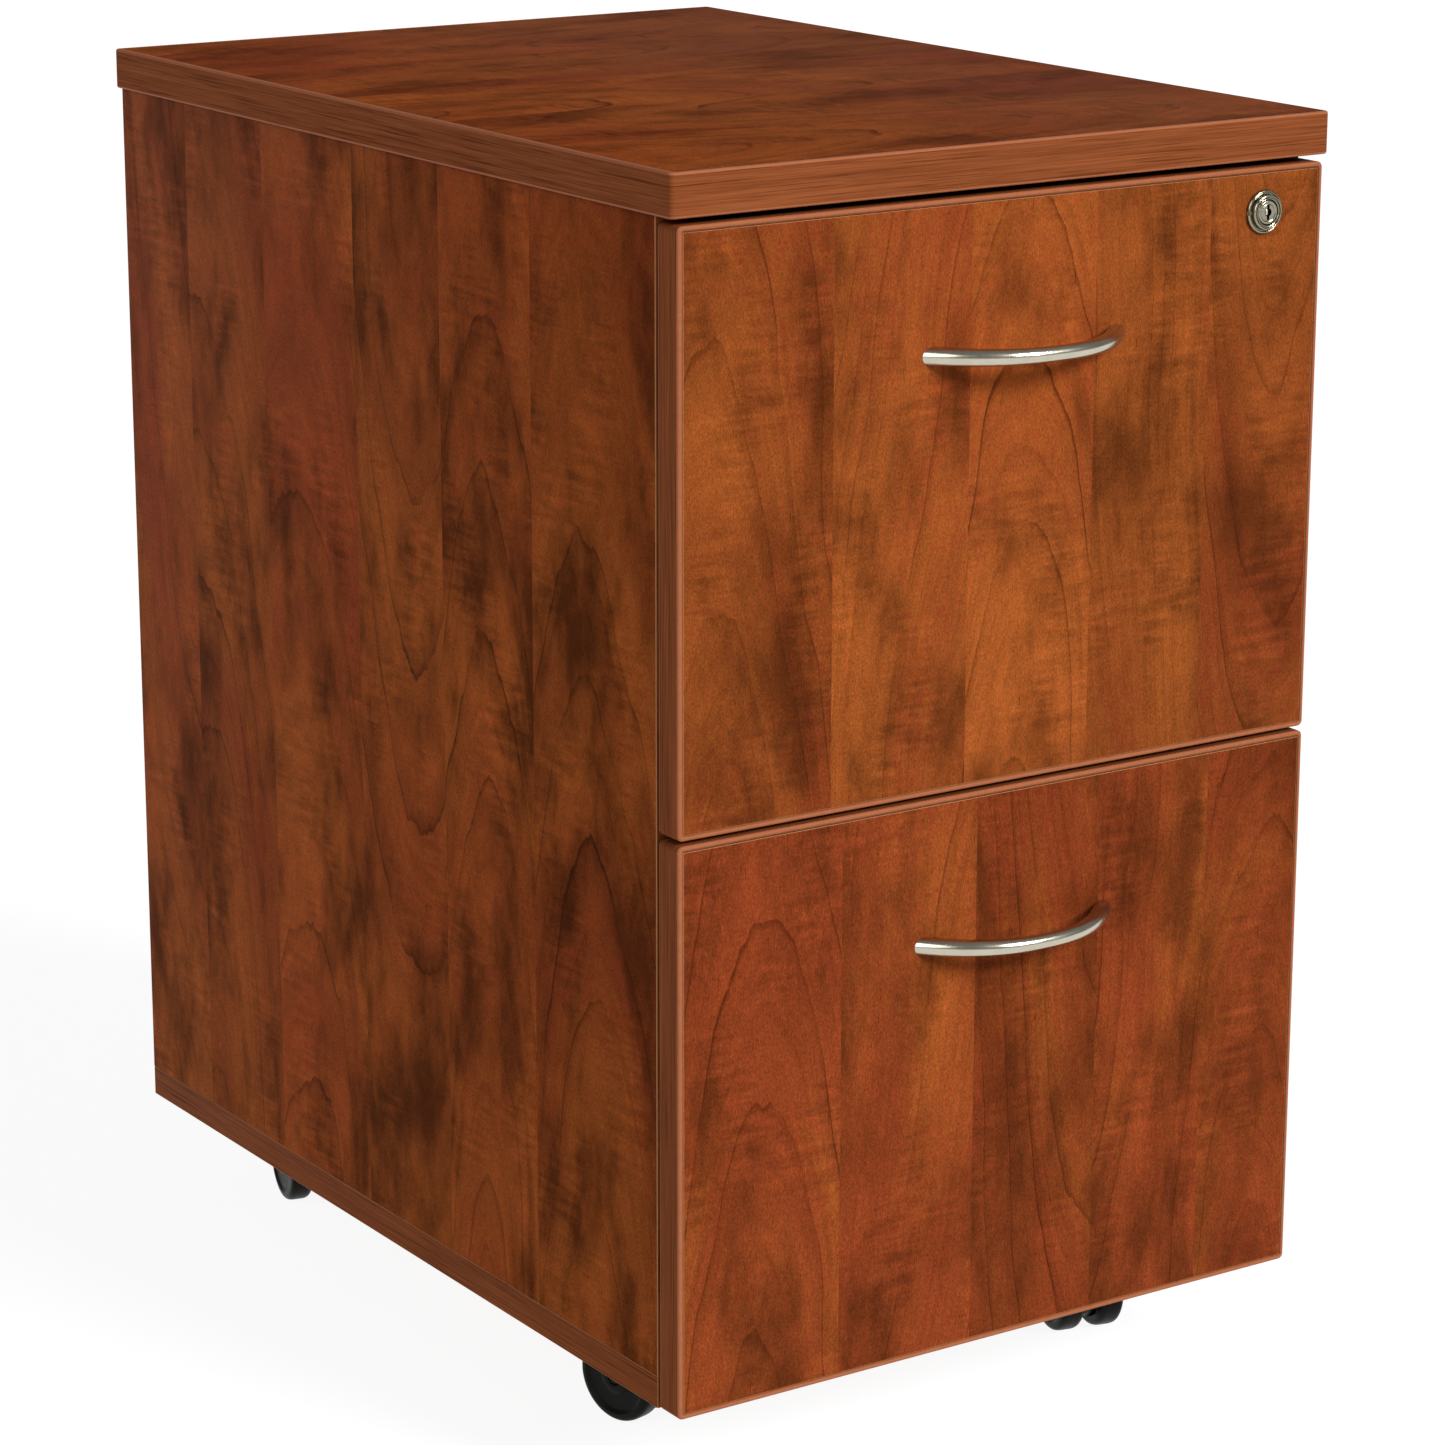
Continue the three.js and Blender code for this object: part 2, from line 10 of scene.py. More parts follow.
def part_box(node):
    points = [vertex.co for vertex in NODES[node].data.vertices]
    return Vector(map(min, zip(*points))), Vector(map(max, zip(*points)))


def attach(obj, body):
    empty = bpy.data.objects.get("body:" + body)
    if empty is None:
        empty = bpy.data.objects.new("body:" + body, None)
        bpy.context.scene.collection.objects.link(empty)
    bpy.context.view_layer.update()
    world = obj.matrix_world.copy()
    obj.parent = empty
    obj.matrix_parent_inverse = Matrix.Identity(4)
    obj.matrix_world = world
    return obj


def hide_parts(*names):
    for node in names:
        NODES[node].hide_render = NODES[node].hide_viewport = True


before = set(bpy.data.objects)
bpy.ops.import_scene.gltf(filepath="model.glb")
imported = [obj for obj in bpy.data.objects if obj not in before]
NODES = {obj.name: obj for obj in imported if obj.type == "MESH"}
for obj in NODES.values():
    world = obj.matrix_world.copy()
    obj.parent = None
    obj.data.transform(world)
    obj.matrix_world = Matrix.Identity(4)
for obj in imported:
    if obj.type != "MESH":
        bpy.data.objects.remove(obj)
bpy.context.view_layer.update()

MM = 0.001
X, Y, Z = 0, 1, 2
SIDES = (("left", -1), ("right", 1))
DRAWERS = ("upper", "lower")
CASTERS = ("front_left", "front_right", "rear_left", "rear_right")
# Where each caster has swivelled to, in degrees about its kingpin.
CASTER_TURNS = {"front_left": 14, "front_right": 166, "rear_left": -12, "rear_right": 180}

# Light on the drawer fronts, where a white face at full screen white gets 1, and the grey that
# reflections add to every face.
FRONT_LIGHT = 2.1
HAZE = 0.004
# The side and the top take more grey out of their colour: painted shade that cancels their brighter
# sheen.
SIDE_HAZE = 0.005
TOP_HAZE = 0.009

# Edge bands of the top and of the drawer fronts.
BAND_THICKNESS = 3.0
BAND_ARRIS = 1.3
BAND_CORNER = 3.0
BAND_SEAM = 0.05
CORE_GROWTH = 0.27
THIN_BAND = 1.2

# Bow handles.
HANDLE_HALF_SPAN = 56.0
HANDLE_RISE = 25.8
HANDLE_POWER = 2.4
HANDLE_MID_RADIUS = 3.9
HANDLE_END_RADIUS = 5.0
HANDLE_GAP = 0.06
# Share of the half span where the section starts to turn square to the front.
HANDLE_TURN_START = 0.72
HANDLE_STEPS_ALONG = 96
HANDLE_STEPS_AROUND = 40
HANDLE_SCREW_RADIUS = 4.0

# Screws: the head's height and its cross recess, as shares of its radius or height.
PAN_CROWN = 0.62
FLAT_CROWN = 0.1
RECESS_LENGTH = 1.05
RECESS_WIDTH = 0.24
RECESS_LIFT = 1.1
RECESS_DEPTH = 1.2

# Casters, in their own frame: the swivel axis on Z and the floor at zero.
TRAIL = 18.0
AXLE_HEIGHT = 25.0
WHEEL_INSIDE = 4.5
AXLE_RADIUS = 3.9
AXLE_REACH = 12.5
PLATE_HALF = 21.0
PLATE_CORNER = 7.0
PLATE_THICKNESS = 2.5
PLATE_HOLE = 15.5
PLATE_SCREW_RADIUS = 3.8
COVER_START = 14
COVER_SPAN = 138
WEB_START = -6
WEB_SPAN = 156

# Vertices closer than this are one.
SAME_PLACE = 0.002 * MM
CORNERS = ((1, 1), (-1, 1), (-1, -1), (1, -1))


# ---------- shaders ----------


def linear(red, green, blue):
    """A colour given in 0-255 screen values, as linear light."""
    levels = []
    for value in (red, green, blue):
        level = value / 255
        levels.append(level / 12.92 if level <= 0.04045 else ((level + 0.055) / 1.055) ** 2.4)
    return levels


def lit(red, green, blue, haze=HAZE, light=FRONT_LIGHT):
    """The surface colour that shows as this screen colour on a face in that much light."""
    levels = linear(red, green, blue)
    return (*(max(level - haze, level * 0.2) / light for level in levels), 1.0)


class Shader:
    """One material, and short calls for the nodes that drive it."""

    def __init__(self, name):
        self.material = bpy.data.materials.new(name)
        self.material.use_nodes = True
        self.tree = self.material.node_tree
        self.surface = self.tree.nodes["Principled BSDF"]
        self.place = self.tree.nodes.new("ShaderNodeTexCoord").outputs["Object"]

    def plug(self, socket, source):
        if isinstance(source, bpy.types.NodeSocket):
            self.tree.links.new(source, socket)
        else:
            socket.default_value = source

    def set(self, **values):
        for name, value in values.items():
            self.plug(self.surface.inputs[name.replace("_", " ")], value)

    def math(self, operation, *values, clamp=False):
        node = self.tree.nodes.new("ShaderNodeMath")
        node.operation = operation
        node.use_clamp = clamp
        for socket, value in zip(node.inputs, values):
            self.plug(socket, value)
        return node.outputs[0]

    def between(self, value, low, high, to_low=0.0, to_high=1.0):
        """Value from low to high, carried smoothly to the other range."""
        node = self.tree.nodes.new("ShaderNodeMapRange")
        node.interpolation_type = "SMOOTHSTEP"
        for socket, number in zip(node.inputs, (value, low, high, to_low, to_high)):
            self.plug(socket, number)
        return node.outputs[0]

    def millimetres(self, axes=(X, Y, Z), origin=(0, 0, 0)):
        """The place on the object in millimetres, from origin, with its axes reordered."""
        apart = self.tree.nodes.new("ShaderNodeSeparateXYZ")
        self.plug(apart.inputs[0], self.place)
        values = []
        for axis in axes:
            shifted = self.math("SUBTRACT", apart.outputs[axis], origin[axis])
            values.append(self.math("MULTIPLY", shifted, 1 / MM))
        return self.point(*values), values

    def point(self, *values):
        together = self.tree.nodes.new("ShaderNodeCombineXYZ")
        for socket, value in zip(together.inputs, values):
            self.plug(socket, value)
        return together.outputs[0]

    def noise(self, place, sizes, seed=0.0, detail=2.0, roughness=0.5):
        """Noise whose features have these sizes along the three axes, in millimetres."""
        scaled = self.tree.nodes.new("ShaderNodeVectorMath")
        scaled.operation = "MULTIPLY_ADD"
        self.plug(scaled.inputs[0], place)
        scaled.inputs[1].default_value = [1 / size for size in sizes]
        scaled.inputs[2].default_value = (seed, seed * 1.7, seed * 2.3)
        texture = self.tree.nodes.new("ShaderNodeTexNoise")
        self.plug(texture.inputs["Vector"], scaled.outputs[0])
        texture.inputs["Scale"].default_value = 1.0
        texture.inputs["Detail"].default_value = detail
        texture.inputs["Roughness"].default_value = roughness
        return texture.outputs[0]

    def cells(self, place, size):
        """Random value of each cell of this size, in millimetres."""
        texture = self.tree.nodes.new("ShaderNodeTexVoronoi")
        self.plug(texture.inputs["Vector"], place)
        texture.inputs["Scale"].default_value = 1 / size
        apart = self.tree.nodes.new("ShaderNodeSeparateColor")
        self.plug(apart.inputs[0], texture.outputs["Color"])
        return apart.outputs[0]

    def random(self, value):
        node = self.tree.nodes.new("ShaderNodeTexWhiteNoise")
        node.noise_dimensions = "1D"
        self.plug(node.inputs["W"], value)
        return node.outputs["Value"]

    def mix(self, factor, first, second):
        node = self.tree.nodes.new("ShaderNodeMix")
        node.data_type = "RGBA"
        self.plug(node.inputs[0], factor)
        self.plug(node.inputs[6], first)
        self.plug(node.inputs[7], second)
        return node.outputs[2]

    def scale(self, colour, factor):
        node = self.tree.nodes.new("ShaderNodeVectorMath")
        node.operation = "SCALE"
        self.plug(node.inputs[0], colour[:3] if isinstance(colour, tuple) else colour)
        self.plug(node.inputs["Scale"], factor)
        return node.outputs[0]

    def steps(self, value, stops):
        """Three numbers that change in steps: stops are (where it starts, (a, b, c))."""
        node = self.tree.nodes.new("ShaderNodeValToRGB")
        ramp = node.color_ramp
        ramp.interpolation = "CONSTANT"
        ramp.elements.remove(ramp.elements[1])
        ramp.elements[0].position = 0.0
        ramp.elements[0].color = (*stops[0][1], 1.0)
        for start, numbers in stops[1:]:
            ramp.elements.new(start).color = (*numbers, 1.0)
        self.plug(node.inputs[0], value)
        apart = self.tree.nodes.new("ShaderNodeSeparateColor")
        self.plug(apart.inputs[0], node.outputs["Color"])
        return apart.outputs

    def bump(self, height, distance, strength=1.0):
        node = self.tree.nodes.new("ShaderNodeBump")
        node.inputs["Strength"].default_value = strength
        node.inputs["Distance"].default_value = distance
        self.plug(node.inputs["Height"], height)
        self.plug(self.surface.inputs["Normal"], node.outputs[0])


# Growth rings: their spacing in millimetres, how much their arches stretch along the plank, and
# where in a ring its dark line starts and is full.
RING = 6.2
TILT = 0.15
LINE_START = 0.86
LINE_FULL = 0.97
LINE_AMOUNT = 0.62
LATE_WOOD = -0.24
LATE_WOOD_BALANCE = 1.03
# A size so long that nothing varies, and how far apart in the tree neighbouring planks are.
FAR = 900.0
SHUFFLE = 730.0
CURL = 0.28
LAMINATE_LEVEL = 0.006
# The print's colours, as they show in the photo's light.
ORANGE = (162, 86, 40)
RED = (142, 65, 36)
SMOKE = (82, 42, 23)
LINE = (62, 29, 14)
# Printed textures: size across and along the grain in millimetres, seed step, detail, roughness.
TEXTURES = {
    "patches": ((30, 120), 5, 2.0, 0.5),
    "fibre": ((0.55, 5.0), 6, 3.0, 0.65),
    "streak": ((1.8, 90.0), 7, 3.0, 0.6),
    "cloud": ((22.0, 46.0), 8, 5.0, 0.62),
    "wave": ((26.0, 4.6), 9, 3.0, 0.55),
    "curl_here": ((42, 75), 10, 2.0, 0.5),
    "smoke": ((46.0, 105.0), 11, 5.0, 0.62),
    "fleck": ((0.9, 15.0), 12, 1.0, 0.5),
    "gum": ((5.0, 13.0), 13, 3.0, 0.6),
    "hue": ((40, 300), 14, 3.0, 0.5),
    "shade": ((13.0, 210.0), 15, 3.0, 0.6),
    "grit": ((0.8, 1.5), 16, 2.0, 0.6),
    "mottle": ((3.0, 7.0), 17, 4.0, 0.7),
}
FLECKS_FROM = 0.73
FLECKS_FULL = 0.82
FLECKS_AMOUNT = 0.6


def cherry(name, node, across, along, planks, seed, red=0.5, smoky=0.5, haze=HAZE, gain=1.0):
    """Cherry-printed laminate: planks with arched growth rings, fibres, curl, flecks, smoke.

    Each plank gives where it starts, as a share of the panel's width, its tone, the axis of its
    rings as a share of the width and where their arches are centred as a share of the height.
    """
    shader = Shader(name)
    lo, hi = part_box(node)
    width = (hi[across] - lo[across]) / MM
    height = (hi[along] - lo[along]) / MM
    other = X + Y + Z - across - along
    _, (u, v, w) = shader.millimetres((across, along, other), lo)
    math_ = shader.math

    stops = []
    for start, tone, axis, centre in planks:
        stops.append((start, (tone, (axis + 0.5) / 2, (centre + 2) / 5)))
    tone, axis, centre = list(shader.steps(math_("DIVIDE", u, width), stops))[:3]
    # Every plank takes its figure from another part of the tree.
    place = shader.point(
        math_("MULTIPLY_ADD", axis, SHUFFLE, u), math_("MULTIPLY_ADD", tone, SHUFFLE, v), w
    )

    def centred(sizes, step, amount):
        value = shader.noise(place, (*sizes, FAR), seed + step)
        return math_("MULTIPLY", math_("SUBTRACT", value, 0.5), amount)

    def texture(kind, where=place):
        sizes, step, detail, roughness = TEXTURES[kind]
        return shader.noise(where, (*sizes, FAR), seed + step, detail, roughness)

    # Distance from the tree's middle: the rings show as arches where the plank cuts across them.
    axis_u = math_("MULTIPLY", math_("SUBTRACT", math_("MULTIPLY", axis, 2.0), 0.5), width)
    centre_v = math_("MULTIPLY", math_("SUBTRACT", math_("MULTIPLY", centre, 5.0), 2.0), height)
    sway = math_("ADD", centred((150, 420), 1, 60), centred((40, 130), 2, 7))
    du = math_("ADD", math_("SUBTRACT", u, axis_u), sway)
    rise = math_("MULTIPLY", math_("SUBTRACT", v, centre_v), TILT)
    dv = math_("ADD", rise, centred((90, 190), 3, 9))
    radius = math_("SQRT", math_("ADD", math_("MULTIPLY", du, du), math_("MULTIPLY", dv, dv)))
    rings = math_("ADD", math_("DIVIDE", radius, RING), math_("MULTIPLY", tone, 9.0))
    rings = math_("ADD", rings, centred((10, 80), 4, 0.5))
    phase = math_("FRACT", rings)
    strength = math_("POWER", shader.random(math_("FLOOR", rings)), 2.2)
    patches = shader.between(texture("patches"), 0.36, 0.58)
    bold = math_("MULTIPLY", strength, patches)
    late = math_("MULTIPLY", math_("POWER", phase, 2.0), strength)
    rise_edge = shader.between(phase, LINE_START, LINE_FULL)
    line = math_("MULTIPLY", rise_edge, math_("MULTIPLY", bold, LINE_AMOUNT))

    # Textures that follow the rings, and textures that follow the plank.
    along_rings = shader.point(radius, math_("MULTIPLY_ADD", tone, SHUFFLE, v), w)
    streak = texture("streak", along_rings)
    shade = texture("shade", along_rings)
    fibre = texture("fibre")
    mottle = texture("mottle")

    # Curl: short waves across the grain, in patches.
    wave = math_("SUBTRACT", shader.between(texture("wave"), 0.3, 0.7), 0.5)
    curl_here = shader.between(texture("curl_here"), 0.46, 0.62)
    curl = math_("MULTIPLY", math_("MULTIPLY", wave, curl_here), CURL)

    # Smoky patches, feathered along the grain, and short dark flecks.
    feather = math_("MULTIPLY_ADD", math_("SUBTRACT", shade, 0.5), 0.55, texture("smoke"))
    feather = math_("MULTIPLY_ADD", math_("SUBTRACT", streak, 0.5), 0.16, feather)
    feather = math_("MULTIPLY_ADD", curl, -0.16, feather)
    smoke = shader.between(feather, 0.4, 0.74, 0.0, smoky + 0.3)
    fleck = shader.between(texture("fleck"), FLECKS_FROM, FLECKS_FULL, 0.0, FLECKS_AMOUNT)
    gum = shader.between(texture("gum"), FLECKS_FROM, FLECKS_FULL, 0.0, FLECKS_AMOUNT)

    # Colour: orange to red, then every texture's light and dark on it, then smoke and marks.
    hue = texture("hue", along_rings)
    hue = math_("MULTIPLY_ADD", math_("SUBTRACT", mottle, 0.5), 0.8, hue)
    hue = shader.between(math_("ADD", hue, red - 0.5), 0.3, 0.7)
    ground = shader.mix(hue, lit(*ORANGE, haze), lit(*RED, haze))
    value = math_("MULTIPLY_ADD", tone, gain, 0.55 * gain)
    for pattern, amount in (
        (fibre, 0.85),
        (texture("grit"), 1.35),
        (mottle, 0.7),
        (streak, 0.65),
        (texture("cloud"), 0.65),
        (shade, 0.55),
    ):
        spread = math_("MULTIPLY_ADD", pattern, amount, 1 - amount / 2)
        value = math_("MULTIPLY", value, spread)
    value = math_("MULTIPLY", value, math_("ADD", curl, 1.0))
    late = math_("MULTIPLY_ADD", late, LATE_WOOD, LATE_WOOD_BALANCE)
    value = math_("MULTIPLY", value, late)
    ground = shader.scale(ground, value)
    ground = shader.mix(smoke, ground, shader.scale(lit(*SMOKE, haze), value))
    marks = math_("ADD", math_("ADD", line, fleck), gum, clamp=True)
    ground = shader.mix(marks, ground, lit(*LINE, haze))
    sheen = math_("ADD", math_("MULTIPLY_ADD", fibre, 0.16, 0.3), math_("MULTIPLY", smoke, 0.1))
    shader.set(Base_Color=ground, Roughness=sheen, Specular_IOR_Level=LAMINATE_LEVEL)
    relief = math_("SUBTRACT", math_("ADD", fibre, math_("MULTIPLY", streak, 0.5)), marks)
    shader.bump(relief, 0.06 * MM, 0.5)
    return shader.material


def printed_band(name, sizes):
    """The printed face of a plastic edge band: fine straight grain along the band."""
    shader = Shader(name)
    place, _ = shader.millimetres()
    grain = shader.noise(place, sizes, 3.0, 4.0, 0.7)
    coarse = shader.noise(place, [size * 4.0 for size in sizes], 8.0, 3.0, 0.6)
    pores = shader.noise(place, [size * 1.2 for size in sizes], 14.0, 3.0, 0.6)
    light, dark = lit(164, 94, 56), lit(136, 72, 41)
    colour = shader.mix(shader.between(grain, 0.3, 0.7), dark, light)
    colour = shader.scale(colour, shader.math("MULTIPLY_ADD", coarse, 0.5, 0.76))
    pore = shader.between(pores, 0.53, 0.66, 0.0, 0.62)
    colour = shader.mix(pore, colour, lit(84, 40, 24))
    roughness = shader.math("MULTIPLY_ADD", grain, 0.2, 0.3)
    shader.set(Base_Color=colour, Roughness=roughness, Specular_IOR_Level=LAMINATE_LEVEL)
    shader.bump(shader.math("SUBTRACT", grain, pore), 0.09 * MM, 0.6)
    return shader.material


def band_core(name, red, green, blue):
    """The plain plastic that shows where an edge band is rounded, lightly scuffed; it is made paler
    than the print, which also paints a highlight along the rounded edges.
    """
    shader = Shader(name)
    place, _ = shader.millimetres()
    mottle = shader.noise(place, (5.0, 5.0, 5.0), 1.0, 4.0, 0.6)
    scuff = shader.noise(place, (22.0, 22.0, 1.4), 5.0, 3.0, 0.7)
    colour = shader.scale(lit(red, green, blue), shader.math("MULTIPLY_ADD", mottle, 0.3, 0.85))
    worn = shader.between(scuff, 0.6, 0.75, 0.0, 0.35)
    colour = shader.mix(worn, colour, lit(red + 30, green + 30, blue + 26))
    shader.set(Base_Color=colour, Roughness=shader.math("MULTIPLY_ADD", scuff, 0.25, 0.26))
    shader.set(Specular_IOR_Level=6 * LAMINATE_LEVEL)
    shader.bump(shader.math("ADD", mottle, scuff), 0.05 * MM, 0.5)
    return shader.material


def melamine(name):
    """Drawer-box board: plain brown melamine with a faint grain along the drawer."""
    shader = Shader(name)
    place, _ = shader.millimetres()
    grain = shader.noise(place, (1.2, 70.0, 1.2), 2.0, 4.0, 0.6)
    cloud = shader.noise(place, (60.0, 160.0, 60.0), 4.0, 3.0)
    colour = shader.mix(grain, lit(98, 55, 32, 0, 1.2), lit(134, 82, 52, 0, 1.2))
    colour = shader.scale(colour, shader.math("MULTIPLY_ADD", cloud, 0.4, 0.8))
    shader.set(Base_Color=colour, Roughness=shader.math("MULTIPLY_ADD", grain, 0.2, 0.42))
    shader.set(Specular_IOR_Level=0.3)
    shader.bump(grain, 0.08 * MM, 0.5)
    return shader.material


def nickel(name, red, green, blue, roughness, brush):
    """Satin or polished nickel: fine brushed lines, faint clouding, small rubbed spots."""
    shader = Shader(name)
    place, _ = shader.millimetres()
    lines = shader.noise(place, brush, 6.0, 3.0, 0.7)
    cloud = shader.noise(place, (9.0, 9.0, 9.0), 2.0, 4.0, 0.6)
    clouded = shader.math("MULTIPLY_ADD", cloud, 0.3, 0.85)
    colour = shader.scale((*linear(red, green, blue), 1.0), clouded)
    uneven = shader.math("MULTIPLY", shader.math("ADD", lines, cloud), 0.5)
    low = roughness * 0.7
    shader.set(Base_Color=colour, Metallic=1.0)
    shader.set(Roughness=shader.math("MULTIPLY_ADD", uneven, roughness * 0.6, low))
    shader.bump(lines, 0.012 * MM, 0.5)
    return shader.material


def zinc(name, shine=1.0):
    """Zinc-plated steel, bright or black, with a faint spangle and drawing lines."""
    shader = Shader(name)
    place, _ = shader.millimetres()
    spangle = shader.cells(place, 3.5)
    drawn = shader.noise(place, (0.5, 60.0, 0.5), 3.0, 3.0, 0.7)
    grime = shader.noise(place, (24.0, 60.0, 24.0), 7.0, 4.0, 0.6)
    colour = shader.mix(spangle, (0.46, 0.48, 0.5, 1.0), (0.6, 0.61, 0.61, 1.0))
    colour = shader.scale(colour, shader.math("MULTIPLY_ADD", grime, 0.5 * shine, 0.72 * shine))
    shader.set(Base_Color=colour, Metallic=1.0)
    shader.set(Roughness=shader.math("MULTIPLY_ADD", drawn, 0.25, 0.26))
    shader.bump(shader.math("ADD", drawn, spangle), 0.02 * MM, 0.4)
    return shader.material


def black_paint(name):
    """Black powder-coated steel with orange-peel texture."""
    shader = Shader(name)
    place, _ = shader.millimetres()
    peel = shader.noise(place, (0.8, 0.8, 0.8), 3.0, 2.0)
    wear = shader.noise(place, (3.0, 26.0, 3.0), 9.0, 4.0, 0.7)
    rubbed = shader.between(wear, 0.62, 0.8, 0.0, 0.5)
    colour = shader.mix(rubbed, lit(26, 26, 27, 0, 1), lit(74, 74, 74, 0, 1))
    shader.set(Base_Color=colour, Roughness=shader.math("MULTIPLY_ADD", peel, 0.2, 0.34))
    shader.bump(peel, 0.05 * MM, 0.6)
    return shader.material


def nylon(name):
    """Moulded black nylon: fine moulding grain, dust and scuffs on it."""
    shader = Shader(name)
    place, _ = shader.millimetres()
    grain = shader.noise(place, (0.35, 0.35, 0.35), 2.0, 2.0)
    dust = shader.noise(place, (7.0, 7.0, 4.0), 5.0, 5.0, 0.65)
    dusty = shader.between(dust, 0.55, 0.8, 0.0, 0.25)
    colour = shader.mix(dusty, lit(13, 13, 11, 0, 1), lit(46, 44, 38, 0, 1))
    shader.set(Base_Color=colour, Roughness=shader.math("MULTIPLY_ADD", dust, 0.3, 0.2))
    shader.set(Specular_IOR_Level=0.06)
    shader.bump(shader.math("MULTIPLY_ADD", dust, 2.0, grain), 0.03 * MM, 0.6)
    return shader.material


# ---------- meshes ----------


def make_piece(name, bm):
    bmesh.ops.remove_doubles(bm, verts=bm.verts, dist=SAME_PLACE)
    bmesh.ops.recalc_face_normals(bm, faces=bm.faces)
    mesh = bpy.data.meshes.new(name)
    bm.to_mesh(mesh)
    bm.free()
    for polygon in mesh.polygons:
        polygon.use_smooth = True
    piece = bpy.data.objects.new(name, mesh)
    bpy.context.scene.collection.objects.link(piece)
    return piece


def soften(piece, width, segments=3, angle=30):
    """Rounds a piece's sharp edges and keeps its flat faces flat."""
    bevel = piece.modifiers.new("edges", "BEVEL")
    bevel.width = width * MM
    bevel.segments = segments
    bevel.limit_method = "ANGLE"
    bevel.angle_limit = math.radians(angle)
    bevel.harden_normals = True
    return piece


def dress(piece, body, slot, materials, *nodes):
    for material in materials:
        piece.data.materials.append(material)
    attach(piece, body)
    if nodes:
        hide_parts(*nodes)
    return piece


def from_cad(node, width, grow=(0, 0, 0), segments=3):
    """A piece with a CAD node's shape and rounded edges, grown by so many millimetres a side."""
    bm = bmesh.new()
    bm.from_mesh(NODES[node].data)
    bmesh.ops.remove_doubles(bm, verts=bm.verts, dist=SAME_PLACE)
    flat = math.radians(1)
    bmesh.ops.dissolve_limit(bm, angle_limit=flat, verts=bm.verts, edges=bm.edges)
    lo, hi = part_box(node)
    middle = (lo + hi) / 2
    for vertex in bm.verts:
        for axis in (X, Y, Z):
            half = (hi[axis] - lo[axis]) / 2
            stretch = (half + grow[axis] * MM) / half
            vertex.co[axis] = middle[axis] + (vertex.co[axis] - middle[axis]) * stretch
    return soften(make_piece(f"{node}_look", bm), width, segments)


def arc(centre_a, centre_b, radius, start, end, steps):
    """Points (a, b) on an arc, angles in degrees."""
    points = []
    for step in range(steps + 1):
        angle = math.radians(start + (end - start) * step / steps)
        points.append((centre_a + radius * math.cos(angle), centre_b + radius * math.sin(angle)))
    return points


def band_ring(name, node, face_axis):
    """An edge band round a panel that faces along face_axis: rounded arrises and corners.

    Material 0 goes on the printed outer face, material 1 on the rounded plastic, whose paler colour
    paints a highlight along the arrises.
    """
    lo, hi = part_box(node)
    first, second = [axis for axis in (X, Y, Z) if axis != face_axis]
    depth = (hi[face_axis] - lo[face_axis]) / MM
    inner = BAND_THICKNESS - BAND_SEAM
    arris = BAND_ARRIS
    section = [(inner, 0.0)]
    section += [(arris - a, arris - b) for a, b in arc(0, 0, arris, 90, 0, 6)]
    section += [(arris - a, depth - arris + b) for a, b in arc(0, 0, arris, 0, 90, 6)]
    section += [(inner, depth)]
    path = []
    for index, (side_a, side_b) in enumerate(CORNERS):
        corner_a = (hi if side_a > 0 else lo)[first] / MM - side_a * BAND_CORNER
        corner_b = (hi if side_b > 0 else lo)[second] / MM - side_b * BAND_CORNER
        for a, b in arc(0, 0, 1.0, 90 * index, 90 * index + 90, 8):
            path.append((corner_a, corner_b, a, b))
    bm = bmesh.new()
    rows = []
    for corner_a, corner_b, a, b in path:
        row = []
        for offset, level in section:
            spot = [0.0, 0.0, 0.0]
            spot[first] = (corner_a + a * (BAND_CORNER - offset)) * MM
            spot[second] = (corner_b + b * (BAND_CORNER - offset)) * MM
            spot[face_axis] = lo[face_axis] + level * MM
            row.append(bm.verts.new(spot))
        rows.append(row)
    outer = [index for index, (offset, _) in enumerate(section) if offset < 0.01]
    count = len(section)
    for index, row in enumerate(rows):
        following = rows[(index + 1) % len(rows)]
        for k in range(count):
            j = (k + 1) % count
            face = bm.faces.new((row[k], row[j], following[j], following[k]))
            face.material_index = 0 if k == outer[0] else 1
    piece = make_piece(name, bm)
    weighted = piece.modifiers.new("normals", "WEIGHTED_NORMAL")
    weighted.weight = 80
    return piece


def turned(bm, profile, centre, axis, steps=64, start=0.0, span=360.0):
    """Turns profile points (radius, height) about an axis; a part turn gets end caps."""
    axis = Vector(axis).normalized()
    across = axis.orthogonal().normalized()
    if abs(axis.x) > 0.9:
        across = Vector((0, 1, 0))
    up = axis.cross(across)
    closed = span >= 360
    rows = []
    for step in range(steps if closed else steps + 1):
        angle = math.radians(start + span * step / steps)
        out = across * math.cos(angle) + up * math.sin(angle)
        row = []
        for radius, height in profile:
            spot = Vector(centre) + (out * radius + axis * height) * MM
            row.append(bm.verts.new(spot))
        rows.append(row)
    count = len(profile)
    pairs = len(rows) if closed else len(rows) - 1
    for index in range(pairs):
        row = rows[index]
        following = rows[(index + 1) % len(rows)]
        for k in range(count):
            j = (k + 1) % count
            if profile[k][0] == 0 and profile[j][0] == 0:
                continue
            bm.faces.new((row[k], row[j], following[j], following[k]))
    if not closed:
        bm.faces.new(rows[0])
        bm.faces.new(list(reversed(rows[-1])))


def rounded_profile(points, radius, steps=3):
    """The closed outline with each corner rounded, as far as its sides allow."""
    outline = []
    count = len(points)
    for index in range(count):
        corner = Vector(points[index])
        before = Vector(points[index - 1])
        after = Vector(points[(index + 1) % count])
        if corner.x == 0:
            outline.append(tuple(corner))
            continue
        reach = min(radius, (before - corner).length * 0.45, (after - corner).length * 0.45)
        start = corner + (before - corner).normalized() * reach
        end = corner + (after - corner).normalized() * reach
        for step in range(steps + 1):
            t = step / steps
            spot = start * (1 - t) ** 2 + corner * 2 * t * (1 - t) + end * t**2
            outline.append(tuple(spot))
    return outline


